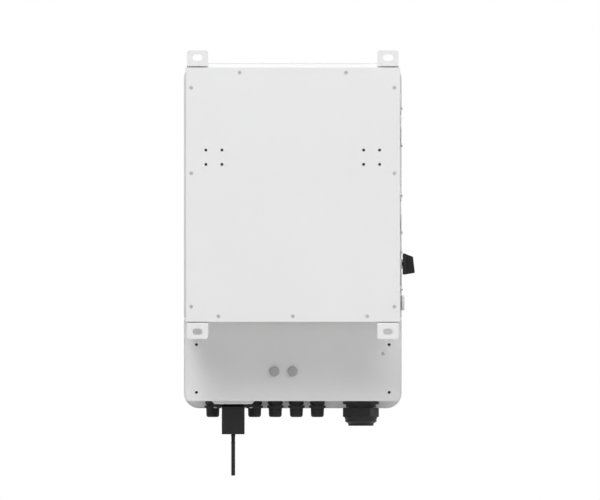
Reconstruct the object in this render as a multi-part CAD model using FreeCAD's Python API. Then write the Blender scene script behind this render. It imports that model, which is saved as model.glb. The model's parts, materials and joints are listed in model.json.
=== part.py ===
import FreeCAD, Part
import math
import os
from FreeCAD import Placement, Rotation, Vector

# Wall-mounted hybrid string inverter, in millimetres.
# The origin is the centre of the four ear slots, on the wall plane Y = 0.
# +Z is up, the front of the case faces -Y and the ears stand against the wall.

os.makedirs("parts", exist_ok=True)

# ---- driving dimensions -------------------------------------------------------------------------
sheet = 2.0
gap = 0.3

# front covers: the widest outline of the case
case_half_width = 210.0
case_top = 254.7
case_bottom = -411.7
case_corner = 30.0
case_front = -233.0
cover_rear = -175.0
cover_edge_round = 3.0
cover_split = -239.0
side_screw_y = -179.0

# main housing, which the front covers lap over
housing_half_width = case_half_width - sheet - gap
housing_top = case_top - sheet - gap
housing_foot = case_bottom + sheet + gap
housing_corner = case_corner - sheet - gap
housing_rear = -92.0
housing_front = -183.0
gland_plate = -397.7
rim_width = 14.0
rim_start = -173.0

# rear duct: a folded cover, and a frame whose four ears are level with the cover
duct_half_width = 206.8
duct_half_height = 245.0
duct_face = -0.3
duct_edge_round = 2.6
duct_rear = housing_rear + 0.5
frame_half_height = duct_half_height - sheet - gap
frame_window = (186.0, 226.0)
ear_slot_x = 183.5
ear_slot_z = 264.0
ear_half_width = 20.5
ear_tip = 278.0
ear_corner = 5.0
ear_slot_length = 19.0
ear_slot_width = 12.0
ear_root = duct_half_height + 2.0
strap_end = -40.0
strap_step = -12.0
bend_outside = 2.6
bend_inside = 0.6
side_screw_x = 195.8
side_screw_heights = (206.0, 41.0, -216.0)
top_screw_x = 102.5
top_screw_z = 235.0
bottom_screw_x = 143.5
bottom_screw_z = -234.5
bracket_x = 151.9
bracket_z = 72.0
bracket_pitch_x = 30.8
bracket_pitch_z = 27.6
small_hole_radius = 2.75

# flush countersunk screws in the duct cover and in the front cover's sides
flush_head = 3.7
flush_shank = 1.6
flush_cone = 1.8
flush_clearance = 0.5

# fans in the duct's left wall
fan_size = 80.0
fan_depth = 25.0
fan_heights = {"upper": 131.0, "middle": -37.0, "lower": -146.0}
fan_y = -51.0
fan_bore = 37.5
fan_hole_pitch = 71.5
fan_outer_x = -(duct_half_width - sheet) + 0.2
guard_thickness = 2.2
blade_count = 7
fan_shaft = 2.0
strut_thickness = 2.5
stator_length = 15.0
exhaust_rows = 8
exhaust_columns = 7
exhaust_slot = (5.0, 38.0)
exhaust_pitch = (10.0, 49.5)
exhaust_start = (-79.0, -192.0)

# heat sink
fin_count = 45
fin_pitch = 9.0
fin_thickness = 2.2
fin_tip = -14.0
fin_x = (-168.0, 188.0)
base_thickness = 8.0

# lower rear panel
panel_hole_x = 185.6
panel_hole_heights = (-289.0, -381.0)
earth_screw_at = (-174.4, -306.7)
vent_plug_at = ((35.3, -340.8), (0.2, -340.8))

# cable glands: a body through the plate, a seal in its sleeve and a dome nut around it
gland_inner_end = -386.0
small_gland_x = (154.1, 73.6, 33.7, -6.9, -47.4)
small_gland_y = -155.0
small_bore = 7.3
small_shoulder = -403.5
small_nut_top = -406.2
small_seal_top = -413.5
small_sleeve_end = -420.0
small_seal_end = -421.5
small_nut_end = -428.7
large_gland_x = -131.2
large_gland_y = -142.0
large_inner_end = -383.0
large_bore = 19.0
large_shoulder = -404.3
large_nut_top = -410.4
large_seal_top = -411.5
large_sleeve_end = -428.0
large_seal_end = -430.5
large_nut_end = -445.5

# data logger and its antenna
logger_x = 114.8
logger_y = -112.0
logger_half_width = 22.0
logger_half_depth = 12.0
logger_bottom = -461.8
logger_flange_top = -404.0
logger_flange = 5.0
logger_wall = 2.2
logger_screw_reach = 34.0
pad_thickness = 5.8
antenna_pivot = -470.0
antenna_tip = -541.4
antenna_radius = 3.8
joint_radius = 4.2
tongue_half = 1.6

# rotary isolator and power button in the left wall
isolator_y = -150.0
isolator_z = -133.7
shaft_radius = 4.0
shaft_depth = 11.0
isolator_block = 50.0
button_y = -150.0
button_z = -208.8

# display
panel_centre_z = 160.0
key_x = 70.0
key_heights = {"escape": 190.0, "up": 170.0, "down": 150.0, "enter": 130.0}
key_radius = 6.0
board_front = -214.0
board_thickness = 2.0
power_board_rear = -122.0
power_board_front = power_board_rear - board_thickness


# ---- helpers ------------------------------------------------------------------------------------
def save(name, shape):
    """Write one named piece as a STEP file."""
    shape.exportStep("parts/" + name + ".step")


def box(x, y, z):
    """Box from three (low, high) pairs."""
    corner = Vector(x[0], y[0], z[0])
    return Part.makeBox(x[1] - x[0], y[1] - y[0], z[1] - z[0], corner)


def rod(radius, start, end):
    """Cylinder between two points."""
    start = Vector(*start)
    direction = Vector(*end) - start
    return Part.makeCylinder(radius, direction.Length, start, direction)


def in_plane(plane, u, v, level=0.0):
    """Point of a plane named by its two axes, at a level along the third axis."""
    if plane == "xy":
        return Vector(u, v, level)
    if plane == "xz":
        return Vector(u, level, v)
    return Vector(level, u, v)


def outline(points, plane, level=0.0):
    """Closed wire through (u, v, radius) corners, each rounded by a tangent arc of its radius."""
    arcs = []
    for index, (u, v, radius) in enumerate(points):
        corner = Vector(u, v, 0)
        before = Vector(points[index - 1][0], points[index - 1][1], 0) - corner
        following = points[(index + 1) % len(points)]
        after = Vector(following[0], following[1], 0) - corner
        before.normalize()
        after.normalize()
        half_angle = before.getAngle(after) / 2
        reach = radius / math.tan(half_angle)
        bisector = before + after
        start = corner + before * reach
        end = corner + after * reach
        middle = corner
        if radius:
            bisector.normalize()
            middle = corner + bisector * (radius / math.sin(half_angle) - radius)
        arcs.append([in_plane(plane, p.x, p.y, level) for p in (start, middle, end)])
    edges = []
    for index, (start, middle, end) in enumerate(arcs):
        if (end - start).Length > 1e-6:
            edges.append(Part.Arc(start, middle, end).toShape())
        next_start = arcs[(index + 1) % len(arcs)][0]
        if (next_start - end).Length > 1e-6:
            edges.append(Part.LineSegment(end, next_start).toShape())
    return Part.Wire(edges)


def prism(points, plane, low, high):
    """Solid with a rounded polygon as its section, between two levels of the third axis."""
    face = Part.Face(outline(points, plane, low))
    return face.extrude(in_plane(plane, 0, 0, high - low))


def rounded_rectangle(u, v, radius):
    """Corner list of a rectangle given by two (low, high) pairs."""
    return [(u[0], v[0], radius), (u[1], v[0], radius), (u[1], v[1], radius), (u[0], v[1], radius)]


def turned(profile, seat, outward):
    """Solid of revolution from (radius, height, rounding) corners, standing on a seat point."""
    solid = Part.Face(outline(profile, "xz")).revolve(Vector(0, 0, 0), Vector(0, 0, 1), 360)
    solid.Placement = Placement(Vector(*seat), Rotation(Vector(0, 0, 1), Vector(*outward)))
    return solid


def ring(outer, inner, height, seat, outward):
    """Flat ring standing on a seat point."""
    profile = [(inner, 0, 0), (outer, 0, 0), (outer, height, 0), (inner, height, 0)]
    return turned(profile, seat, outward)


def hexagon(across_corners, low, high, centre):
    """Upright six-sided prism with its corners cut back at both ends; one flat faces +Y."""
    radius = across_corners / 2
    corners = []
    for step in range(6):
        angle = math.radians(60 * step)
        corners.append((centre[0] + radius * math.cos(angle), centre[1] + radius * math.sin(angle), 0))
    blank = prism(corners, "xy", low, high)
    flat = radius * math.cos(math.radians(30)) + 0.3
    edge = (radius - flat) * 0.6
    height = high - low
    cone = [
        (0, 0, 0), (flat, 0, 0), (radius, edge, 0), (radius, height - edge, 0), (flat, height, 0),
        (0, height, 0),
    ]
    return blank.common(turned(cone, (centre[0], centre[1], low), (0, 0, 1)))


def pan_screw(seat, outward, head_radius, head_height, shank_radius, length):
    """Pan-head screw with a cross recess; the seat is the middle of the head's underside."""
    profile = [
        (0, -length, 0), (shank_radius, -length, 0.3), (shank_radius, 0, 0), (head_radius, 0, 0),
        (head_radius, head_height, head_height * 0.6), (0, head_height, 0),
    ]
    screw = turned(profile, (0, 0, 0), (0, 0, 1))
    arm = head_radius * 0.62
    half_slot = head_radius * 0.13
    recess = (head_height * 0.45, head_height + 1)
    screw = screw.cut(box((-arm, arm), (-half_slot, half_slot), recess))
    screw = screw.cut(box((-half_slot, half_slot), (-arm, arm), recess))
    screw.Placement = Placement(Vector(*seat), Rotation(Vector(0, 0, 1), Vector(*outward)))
    return screw


def countersink(seat, outward):
    """Cutter for one flush screw: a conical seat and a clearance hole through the sheet."""
    wide = flush_head + flush_clearance
    narrow = flush_shank + flush_clearance
    profile = [
        (0, -sheet - 1, 0), (narrow, -sheet - 1, 0), (narrow, -flush_cone, 0), (wide, 0, 0),
        (wide, 1, 0), (0, 1, 0),
    ]
    return turned(profile, seat, outward)


def flush_screw(seat, outward, length):
    """Countersunk screw with a round socket; the seat is the middle of its flat top."""
    socket = 1.3
    profile = [
        (0, -length, 0), (flush_shank, -length, 0.3), (flush_shank, -flush_cone - 0.1, 0),
        (flush_head, -0.1, 0), (flush_head, 0, 0), (socket, 0, 0), (socket, -1.0, 0), (0, -1.0, 0),
    ]
    return turned(profile, seat, outward)


def fused(solids):
    """One solid from pieces that touch or overlap."""
    return solids[0].multiFuse(solids[1:]).removeSplitter()


# ---- rear duct ----------------------------------------------------------------------------------
def back_screw_places():
    """(x, z) of the eleven screws that hold the duct cover."""
    places = [(side * side_screw_x, z) for side in (-1, 1) for z in side_screw_heights]
    places += [(side * top_screw_x, top_screw_z) for side in (-1, 1)]
    places += [(side * bottom_screw_x, bottom_screw_z) for side in (-1, 0, 1)]
    return places


def fan_screw_places():
    """(y, z) of the twelve screws that hold the fans."""
    half = fan_hole_pitch / 2
    places = []
    for height in fan_heights.values():
        places += [(fan_y + a * half, height + b * half) for a in (-1, 1) for b in (-1, 1)]
    return places


def ear(side, end):
    """Slotted ear level with the cover, on a stepped strap that lies on the frame's end wall."""
    strap = frame_half_height
    section = [
        (strap_end, end * strap, 0), (strap_end, end * (strap + sheet), 0),
        (strap_step - sheet, end * (strap + sheet), bend_inside),
        (strap_step - sheet, end * (ear_root + sheet), bend_outside),
        (-sheet, end * (ear_root + sheet), bend_inside), (-sheet, end * ear_tip, 0), (0, end * ear_tip, 0),
        (0, end * ear_root, 2 * bend_inside), (strap_step, end * ear_root, bend_inside),
        (strap_step, end * strap, 0),
    ]
    middle = side * ear_slot_x
    x = (middle - ear_half_width, middle + ear_half_width)
    blank = prism(section, "yz", x[0], x[1])
    z = sorted((end * (strap - 20), end * ear_tip))
    blank = blank.common(prism(rounded_rectangle(x, z, ear_corner), "xz", strap_end - 1, 1))
    half_length = ear_slot_length / 2
    half_width = ear_slot_width / 2
    slot_x = (middle - half_length, middle + half_length)
    slot_z = (end * ear_slot_z - half_width, end * ear_slot_z + half_width)
    slot = prism(rounded_rectangle(slot_x, slot_z, half_width - 0.01), "xz", -sheet - 1, 1)
    return blank.cut(slot)


def exhaust_slots():
    """Rows of slots in the duct cover's right wall, where the warm air leaves."""
    slots = []
    width, length = exhaust_slot
    for row in range(exhaust_rows):
        low = exhaust_start[1] + row * exhaust_pitch[1]
        for column in range(exhaust_columns):
            y = exhaust_start[0] + column * exhaust_pitch[0]
            corners = rounded_rectangle((y - width / 2, y + width / 2), (low, low + length), 2.4)
            slots.append(prism(corners, "yz", duct_half_width - sheet - 1, duct_half_width + 1))
    return slots


def duct_cover():
    """Folded rear cover: a flat back with two side walls."""
    half = duct_half_width
    z = (-duct_half_height, duct_half_height)
    section = [
        (-half, duct_rear, 0), (-half, duct_face, duct_edge_round), (half, duct_face, duct_edge_round),
        (half, duct_rear, 0), (half - sheet, duct_rear, 0), (half - sheet, duct_face - sheet, 0.6),
        (sheet - half, duct_face - sheet, 0.6), (sheet - half, duct_rear, 0),
    ]
    cover = prism(section, "xy", z[0], z[1])
    cutters = exhaust_slots()
    cutters += [countersink((x, duct_face, height), (0, 1, 0)) for x, height in back_screw_places()]
    for side in (-1, 1):
        for a in (-0.5, 0.5):
            for b in (-0.5, 0.5):
                x = side * bracket_x + a * bracket_pitch_x
                height = bracket_z + b * bracket_pitch_z
                hole = rod(small_hole_radius, (x, duct_face - 4, height), (x, duct_face + 1, height))
                cutters.append(hole)
    for height in fan_heights.values():
        cutters.append(rod(fan_bore - 0.5, (-half - 1, fan_y, height), (sheet - half + 1, fan_y, height)))
    for y, height in fan_screw_places():
        cutters.append(rod(2.2, (-half - 1, y, height), (sheet - half + 1, y, height)))
    return cover.cut(cutters)


def duct_cover_screws():
    """Eleven flush screws on the back of the duct cover."""
    screws = [flush_screw((x, duct_face, z), (0, 1, 0), 9.0) for x, z in back_screw_places()]
    return Part.makeCompound(screws)


def duct_frame():
    """Frame that the duct cover is screwed to: a flat rim, two end walls and the four wall ears."""
    outer_x = duct_half_width - sheet - 2 * gap
    rim_y = (duct_face - 2 * sheet, duct_face - sheet)
    rim = box((-outer_x, outer_x), rim_y, (-frame_half_height, frame_half_height))
    window_x, window_z = frame_window
    rim = rim.cut(box((-window_x, window_x), (rim_y[0] - 1, rim_y[1] + 1), (-window_z, window_z)))
    pieces = [rim]
    for end in (-1, 1):
        wall = sorted((end * (frame_half_height - sheet), end * frame_half_height))
        foot = sorted((end * (frame_half_height - 16), end * frame_half_height))
        pieces.append(box((-outer_x, outer_x), (housing_rear, rim_y[1]), wall))
        pieces.append(box((-outer_x, outer_x), (housing_rear, housing_rear + sheet), foot))
        pieces += [ear(side, end) for side in (-1, 1)]
    frame = fused(pieces)
    holes = [rod(2.1, (x, rim_y[0] - 1, z), (x, rim_y[1] + 1, z)) for x, z in back_screw_places()]
    return frame.cut(holes)


def heat_sink():
    """Aluminium base plate with fins that run across the duct."""
    low_z = -(fin_count - 1) * fin_pitch / 2
    base_front = housing_rear - sheet - base_thickness
    base_rear = housing_rear - sheet
    comb = [(base_front, -212, 0), (base_rear, -212, 0)]
    for index in range(fin_count):
        centre = low_z + index * fin_pitch
        comb += [
            (base_rear, centre - fin_thickness / 2, 0), (fin_tip, centre - fin_thickness / 2, 0),
            (fin_tip, centre + fin_thickness / 2, 0), (base_rear, centre + fin_thickness / 2, 0),
        ]
    comb += [(base_rear, 212, 0), (base_front, 212, 0)]
    fins = prism(comb, "yz", fin_x[0], fin_x[1])
    base = box((fin_x[0] - 14, fin_x[1] + 14), (base_front, base_rear), (-212, 212))
    return fused([fins, base])


def fan_frame(height):
    """Square fan housing with a round bore, a motor holder on four struts and the stator."""
    half = fan_size / 2
    inner_x = fan_outer_x + fan_depth
    square = rounded_rectangle((fan_y - half, fan_y + half), (height - half, height + half), 4)
    body = prism(square, "yz", fan_outer_x, inner_x)
    body = body.cut(rod(fan_bore, (fan_outer_x - 1, fan_y, height), (inner_x + 1, fan_y, height)))
    corner = fan_hole_pitch / 2
    for a in (-1, 1):
        for b in (-1, 1):
            y = fan_y + a * corner
            z = height + b * corner
            body = body.cut(rod(2.2, (fan_outer_x - 1, y, z), (inner_x + 1, y, z)))
    holder_x = inner_x - strut_thickness
    strut_reach = fan_bore + 0.5
    along_z = (height - strut_reach, height + strut_reach)
    along_y = (fan_y - strut_reach, fan_y + strut_reach)
    pieces = [body]
    pieces.append(box((holder_x, inner_x), (fan_y - 2, fan_y + 2), along_z))
    pieces.append(box((holder_x, inner_x), along_y, (height - 2, height + 2)))
    pieces.append(rod(17, (holder_x, fan_y, height), (inner_x, fan_y, height)))
    pieces.append(rod(12, (holder_x - stator_length, fan_y, height), (holder_x, fan_y, height)))
    frame = fused(pieces)
    bearing_x = (holder_x - stator_length - 1, holder_x + 1.5)
    return frame.cut(rod(fan_shaft + 0.05, (bearing_x[0], fan_y, height), (bearing_x[1], fan_y, height)))


def fan_blade():
    """One twisted blade from the hub to the tip, on the +Z side of a fan at the origin."""
    sections = []
    for radius, half_chord, pitch in ((14.5, 6.0, 50), (25.0, 8.5, 38), (36.0, 9.5, 28)):
        turn = math.radians(pitch)
        along = Vector(math.sin(turn), math.cos(turn), 0)
        across = Vector(math.cos(turn), -math.sin(turn), 0)
        middle = Vector(0, 0, radius)
        corners = [(-1, -1), (1, -1), (1, 1), (-1, 1), (-1, -1)]
        points = [middle + along * (a * half_chord) + across * (b * 0.9) for a, b in corners]
        sections.append(Part.makePolygon(points))
    return Part.makeLoft(sections, True, False)


def fan_rotor(height):
    """Cup-shaped hub on a shaft, with its blades."""
    cup_face = fan_outer_x + 1.2
    cup_end = fan_outer_x + fan_depth - 4.0
    hub = rod(16, (cup_face, 0, 0), (cup_end, 0, 0))
    hub = hub.cut(rod(13.5, (cup_face + 2, 0, 0), (cup_end + 1, 0, 0)))
    blade = fan_blade()
    blade.translate(Vector((cup_face + cup_end) / 2, 0, 0))
    pieces = [hub, rod(fan_shaft, (cup_face + 1, 0, 0), (cup_end, 0, 0))]
    for index in range(blade_count):
        copy = blade.copy()
        copy.rotate(Vector(0, 0, 0), Vector(1, 0, 0), 360 * index / blade_count)
        pieces.append(copy.cut(rod(14.5, (cup_face - 1, 0, 0), (cup_end + 4, 0, 0))))
    rotor = fused(pieces)
    rotor.translate(Vector(0, fan_y, height))
    return rotor


def fan_guards():
    """Three finger guards: rings on four arms, with an eye at each screw."""
    inner_x = -duct_half_width
    outer_x = inner_x - guard_thickness
    guards = []
    for height in fan_heights.values():
        pieces = []
        for radius in (11.0, 21.0, 31.0, 40.0):
            pieces.append(ring(radius, radius - 2.0, guard_thickness, (inner_x, fan_y, height), (-1, 0, 0)))
        reach = fan_hole_pitch / math.sqrt(2)
        arm = box((outer_x, inner_x), (-reach, -9.5), (-1, 1))
        for index in range(4):
            turned_arm = arm.copy()
            turned_arm.rotate(Vector(0, 0, 0), Vector(1, 0, 0), 45 + 90 * index)
            turned_arm.translate(Vector(0, fan_y, height))
            pieces.append(turned_arm)
        half = fan_hole_pitch / 2
        eyes = [(fan_y + a * half, height + b * half) for a in (-1, 1) for b in (-1, 1)]
        pieces += [rod(4.4, (outer_x, y, z), (inner_x, y, z)) for y, z in eyes]
        guard = fused(pieces)
        guards.append(guard.cut([rod(2.2, (outer_x - 1, y, z), (inner_x + 1, y, z)) for y, z in eyes]))
    return Part.makeCompound(guards)


def fan_screws():
    """Twelve long screws through the guards and the fan housings."""
    seat_x = -duct_half_width - guard_thickness
    screws = [pan_screw((seat_x, y, z), (-1, 0, 0), 4.0, 3.0, 1.9, 31) for y, z in fan_screw_places()]
    return Part.makeCompound(screws)


# ---- housing ------------------------------------------------------------------------------------
def case_corners(inset):
    """Rounded outline of the case, moved inwards by an inset."""
    x = (inset - case_half_width, case_half_width - inset)
    z = (case_bottom + inset, case_top - inset)
    return rounded_rectangle(x, z, case_corner - inset)


def wiring_screw_places():
    """(x, z) of the four long screws that hold the wiring cover."""
    middle = rim_width / 2
    upper = [(side * (housing_half_width - middle), -262.0) for side in (-1, 1)]
    lower = [(side * 150.0, housing_foot + middle) for side in (-1, 1)]
    return upper + lower


def side_screw_places():
    """(side, z) of the flush screws in the upper front cover's side walls."""
    return [(side, z) for side in (-1, 1) for z in (194.0, 0.0, -205.0)]


def main_housing():
    """Folded steel tray that holds the electronics, with the gland plate as its floor."""
    inset = sheet + gap
    shell = prism(case_corners(inset), "xz", housing_front, housing_rear)
    below = (housing_foot - 1, gland_plate)
    shell = shell.cut(box((-300, 300), (rim_start, housing_rear + 1), below))
    cavity = prism(case_corners(inset + sheet), "xz", housing_front + sheet, housing_rear - sheet)
    under = (housing_foot - 1, gland_plate + sheet)
    cavity = cavity.cut(box((-300, 300), (rim_start - sheet, housing_rear + 1), under))
    mouth = prism(case_corners(inset + rim_width), "xz", housing_front - 1, housing_front + sheet + 1)
    housing = shell.cut([cavity, mouth])
    wall = (housing_rear - sheet - 1, housing_rear + 1)
    cutters = [box((fin_x[0] - 4, fin_x[1] + 4), wall, (-202, 202))]
    for side in (-1, 1):
        for z in panel_hole_heights:
            x = side * panel_hole_x
            cutters.append(rod(small_hole_radius, (x, wall[0], z), (x, wall[1], z)))
    for x, z in vent_plug_at:
        cutters.append(rod(8.0, (x, wall[0], z), (x, wall[1], z)))
    earth_x, earth_z = earth_screw_at
    cutters.append(rod(2.2, (earth_x, wall[0], earth_z), (earth_x, wall[1], earth_z)))
    floor = (gland_plate - 1, gland_plate + sheet + 1)
    for x in small_gland_x:
        cutters.append(rod(10.1, (x, small_gland_y, floor[0]), (x, small_gland_y, floor[1])))
    large_hole = rod(26.3, (large_gland_x, large_gland_y, floor[0]), (large_gland_x, large_gland_y, floor[1]))
    cutters.append(large_hole)
    cutters.append(box((logger_x - 10.3, logger_x + 10.3), (logger_y - 8.3, logger_y + 8.3), floor))
    for reach in (-logger_screw_reach, logger_screw_reach):
        x = logger_x + reach
        cutters.append(rod(2.0, (x, logger_y, floor[0]), (x, logger_y, floor[1])))
    left = (-housing_half_width - 1, -housing_half_width + sheet + 1)
    cutters.append(rod(5.0, (left[0], isolator_y, isolator_z), (left[1], isolator_y, isolator_z)))
    cutters.append(rod(11.3, (left[0], button_y, button_z), (left[1], button_y, button_z)))
    rim = (housing_front - 1, housing_front + sheet + 1)
    cutters += [rod(2.7, (x, rim[0], z), (x, rim[1], z)) for x, z in wiring_screw_places()]
    for side, z in side_screw_places():
        outer = side * (housing_half_width + 1)
        inner = side * (housing_half_width - sheet - 1)
        cutters.append(rod(1.8, (outer, side_screw_y, z), (inner, side_screw_y, z)))
    return housing.cut(cutters)


def divider_plate():
    """Shelf between the power electronics and the wiring box, with a flange and a cable window."""
    half = housing_half_width - sheet - gap
    x = (-half, half)
    shelf_z = (cover_split - sheet / 2, cover_split + sheet / 2)
    shelf = box(x, (housing_front + sheet, housing_rear - sheet - 0.2), shelf_z)
    inner = housing_half_width - rim_width - 0.2
    flange = box((-inner, inner), (housing_front, housing_front + sheet), (cover_split - 7, cover_split + 7))
    plate = fused([shelf, flange])
    for centre in (-110, 0, 110):
        window = rounded_rectangle((centre - 35, centre + 35), (-165, -130), 8)
        plate = plate.cut(prism(window, "xy", shelf_z[0] - 1, shelf_z[1] + 1))
    return plate


def gasket(low, high):
    """Flat rubber frame between the housing's rim and one cover, from one height to another."""
    y = (housing_front - sheet, housing_front)
    band = prism(case_corners(sheet + 2.5), "xz", y[0], y[1])
    hole = prism(case_corners(sheet + gap + rim_width), "xz", y[0] - 1, y[1] + 1)
    band = band.cut(hole)
    wide = (-300, 300)
    band = band.common(box(wide, y, (low, high)))
    inner = housing_half_width - rim_width + 0.5
    if high > 0:
        cross = box((-inner, inner), y, (low, low + 6))
    else:
        cross = box((-inner, inner), y, (high - 6, high))
    band = fused([band, cross])
    return band.cut([rod(2.7, (x, y[0] - 1, z), (x, y[1] + 1, z)) for x, z in wiring_screw_places()])


def wrap_cover(low, high):
    """Shallow front tray with the case's rounded outline, kept between two heights."""
    wide = (-300, 300)
    blank = prism(case_corners(0), "xz", case_front, cover_rear)
    front_edges = [e for e in blank.Edges if e.BoundBox.YMax < case_front + 0.01]
    blank = blank.makeFillet(cover_edge_round, front_edges)
    blank = blank.common(box(wide, (case_front, cover_rear), (low, high)))
    cavity = prism(case_corners(sheet), "xz", case_front + sheet, cover_rear + 1)
    deep = cavity.common(box(wide, (case_front, housing_front - sheet), (low + sheet, high - sheet)))
    lap = cavity.common(box(wide, (housing_front - sheet, cover_rear + 1), (low - 1, high + 1)))
    return blank.cut([deep, lap])


def key_places():
    """(x, z) of the four keys."""
    return [(key_x, z) for z in key_heights.values()]


def led_places():
    """(x, z) of the four indicator lamps."""
    return [(-key_x, z) for z in key_heights.values()]


def front_cover():
    """Upper front cover with the cut-outs for the display, keys and lamps."""
    cover = wrap_cover(cover_split + 1, case_top + 1)
    wall = (case_front - 1, case_front + sheet + 1)
    window = rounded_rectangle((-49, 49), (panel_centre_z - 31, panel_centre_z + 31), 4)
    cutters = [prism(window, "xz", wall[0], wall[1])]
    cutters += [rod(key_radius + 0.8, (x, wall[0], z), (x, wall[1], z)) for x, z in key_places()]
    cutters += [rod(3.0, (x, wall[0], z), (x, wall[1], z)) for x, z in led_places()]
    for side, z in side_screw_places():
        cutters.append(countersink((side * case_half_width, side_screw_y, z), (side, 0, 0)))
    return cover.cut(cutters)


def front_cover_screws():
    """Six flush screws through the front cover's side walls."""
    screws = []
    for side, z in side_screw_places():
        screws.append(flush_screw((side * case_half_width, side_screw_y, z), (side, 0, 0), 8.0))
    return Part.makeCompound(screws)


def wiring_cover():
    """Lower front cover over the wiring box."""
    cover = wrap_cover(case_bottom - 1, cover_split - 1)
    wall = (case_front - 1, case_front + sheet + 1)
    return cover.cut([rod(2.8, (x, wall[0], z), (x, wall[1], z)) for x, z in wiring_screw_places()])


def wiring_cover_screws():
    """Four long pan-head screws from the wiring cover to the housing's rim."""
    length = case_front - housing_front - sheet - 3
    screws = []
    for x, z in wiring_screw_places():
        screws.append(pan_screw((x, case_front, z), (0, -1, 0), 5.0, 2.6, 2.4, -length))
    return Part.makeCompound(screws)


def vent_plugs():
    """Two round plugs in the lower rear panel, with a domed cap and a stepped rim."""
    profile = [
        (0, -8, 0), (7.7, -8, 0.5), (7.7, 0, 0), (9.75, 0, 0), (9.75, 3.4, 0.8),
        (8.6, 3.4, 0), (8.6, 5.0, 1.2), (0, 5.4, 0),
    ]
    return Part.makeCompound([turned(profile, (x, housing_rear, z), (0, 1, 0)) for x, z in vent_plug_at])


def earth_screw():
    """Earth terminal screw in the lower rear panel."""
    return pan_screw((earth_screw_at[0], housing_rear, earth_screw_at[1]), (0, 1, 0), 3.4, 1.8, 1.9, 10)


# ---- glands -------------------------------------------------------------------------------------
def tube(outer, inner, low, high, centre):
    """Upright tube between two heights."""
    return ring(outer, inner, high - low, (centre[0], centre[1], low), (0, 0, 1))


def bored(solid, radius, low, high, centre):
    """The solid with an upright round hole between two heights."""
    return solid.cut(rod(radius, (centre[0], centre[1], low), (centre[0], centre[1], high)))


def small_gland_body(centre):
    """Threaded body: tube through the plate, six-sided shoulder, neck and clamping sleeve."""
    pieces = [tube(9.8, small_bore, gland_plate, gland_inner_end, centre)]
    pieces.append(hexagon(29.6, small_shoulder, gland_plate, centre))
    pieces.append(tube(13.0, small_bore, small_nut_top + gap, small_shoulder, centre))
    pieces.append(tube(9.5, small_bore, small_sleeve_end, small_nut_top + gap, centre))
    body = bored(fused(pieces), small_bore, small_sleeve_end, gland_inner_end, centre)
    return bored(body, small_bore + 1, small_sleeve_end, small_seal_top + 0.2, centre)


def small_gland_nut(centre):
    """Dome nut with a wide collar, twelve grooves and a rounded mouth."""
    collar = small_nut_top - 5.2 - small_nut_end
    top = small_nut_top - small_nut_end
    profile = [
        (9.8, top, 0), (16.2, top, 0.8), (16.2, collar, 0.8), (12.7, collar, 0), (11.9, 0, 3.9),
        (small_bore, 0, 0.6), (small_bore, 6.5, 0), (9.8, 6.5, 0),
    ]
    nut = turned(profile, (centre[0], centre[1], small_nut_end), (0, 0, 1))
    grooves = []
    for index in range(12):
        angle = math.radians(30 * index + 15)
        x = centre[0] + 13.4 * math.cos(angle)
        y = centre[1] + 13.4 * math.sin(angle)
        grooves.append(rod(1.6, (x, y, small_nut_end - 1), (x, y, small_nut_end + collar - 0.5)))
    return nut.cut(grooves)


def small_gland_parts():
    """The five small glands as four groups: bodies, locknuts, seals and dome nuts."""
    centres = [(x, small_gland_y) for x in small_gland_x]
    plate_top = gland_plate + sheet
    locknuts = []
    seals = []
    for centre in centres:
        blank = hexagon(31.0, plate_top, plate_top + 4.5, centre)
        locknuts.append(bored(blank, 10.1, gland_plate, gland_inner_end, centre))
        seals.append(tube(8.1, 5.5, small_seal_end, small_seal_top, centre))
    save("small_gland_bodies", Part.makeCompound([small_gland_body(c) for c in centres]))
    save("small_gland_locknuts", Part.makeCompound(locknuts))
    save("small_gland_seals", Part.makeCompound(seals))
    save("small_gland_nuts", Part.makeCompound([small_gland_nut(c) for c in centres]))


def large_gland_parts():
    """The large gland for the battery leads: body, locknut, seal and dome nut."""
    centre = (large_gland_x, large_gland_y)
    plate_top = gland_plate + sheet
    neck_end = large_nut_top + gap
    pieces = [tube(26.0, large_bore, gland_plate, large_inner_end, centre)]
    pieces.append(hexagon(70.4, large_shoulder, gland_plate, centre))
    pieces.append(tube(29.0, large_bore, neck_end, large_shoulder, centre))
    pieces.append(tube(24.0, large_bore, large_sleeve_end, neck_end, centre))
    body = bored(fused(pieces), large_bore, large_sleeve_end, large_inner_end, centre)
    body = bored(body, large_bore + 2, large_sleeve_end, large_seal_top + 0.2, centre)
    save("large_gland_body", body)
    locknut = hexagon(76.0, plate_top, plate_top + 7.5, centre)
    save("large_gland_locknut", bored(locknut, 26.3, gland_plate, large_inner_end, centre))
    save("large_gland_seal", tube(20.7, 16.0, large_seal_end, large_seal_top, centre))
    dome = [
        (0, 17.0, 0), (32.5, 17.0, 0), (30.4, 13.0, 0.8), (30.4, 8.0, 1.0), (24.6, 4.6, 0),
        (24.2, 0, 1.2), (0, 0, 0),
    ]
    dome_top = large_nut_end + 16.5
    dome = turned(dome, (centre[0], centre[1], large_nut_end), (0, 0, 1))
    nut = fused([hexagon(70.0, dome_top, large_nut_top, centre), dome])
    nut = bored(nut, 24.4, dome_top - 2, large_nut_top + 1, centre)
    save("large_gland_nut", bored(nut, 19.5, large_nut_end - 1, dome_top, centre))


# ---- data logger --------------------------------------------------------------------------------
def logger_screw_x():
    """X of the logger's two screws."""
    return (logger_x - logger_screw_reach, logger_x + logger_screw_reach)


def around_logger(half_x, half_y, low, high):
    """Upright block centred on the logger's axis."""
    x = (logger_x - half_x, logger_x + half_x)
    y = (logger_y - half_y, logger_y + half_y)
    return box(x, y, (low, high))


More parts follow.
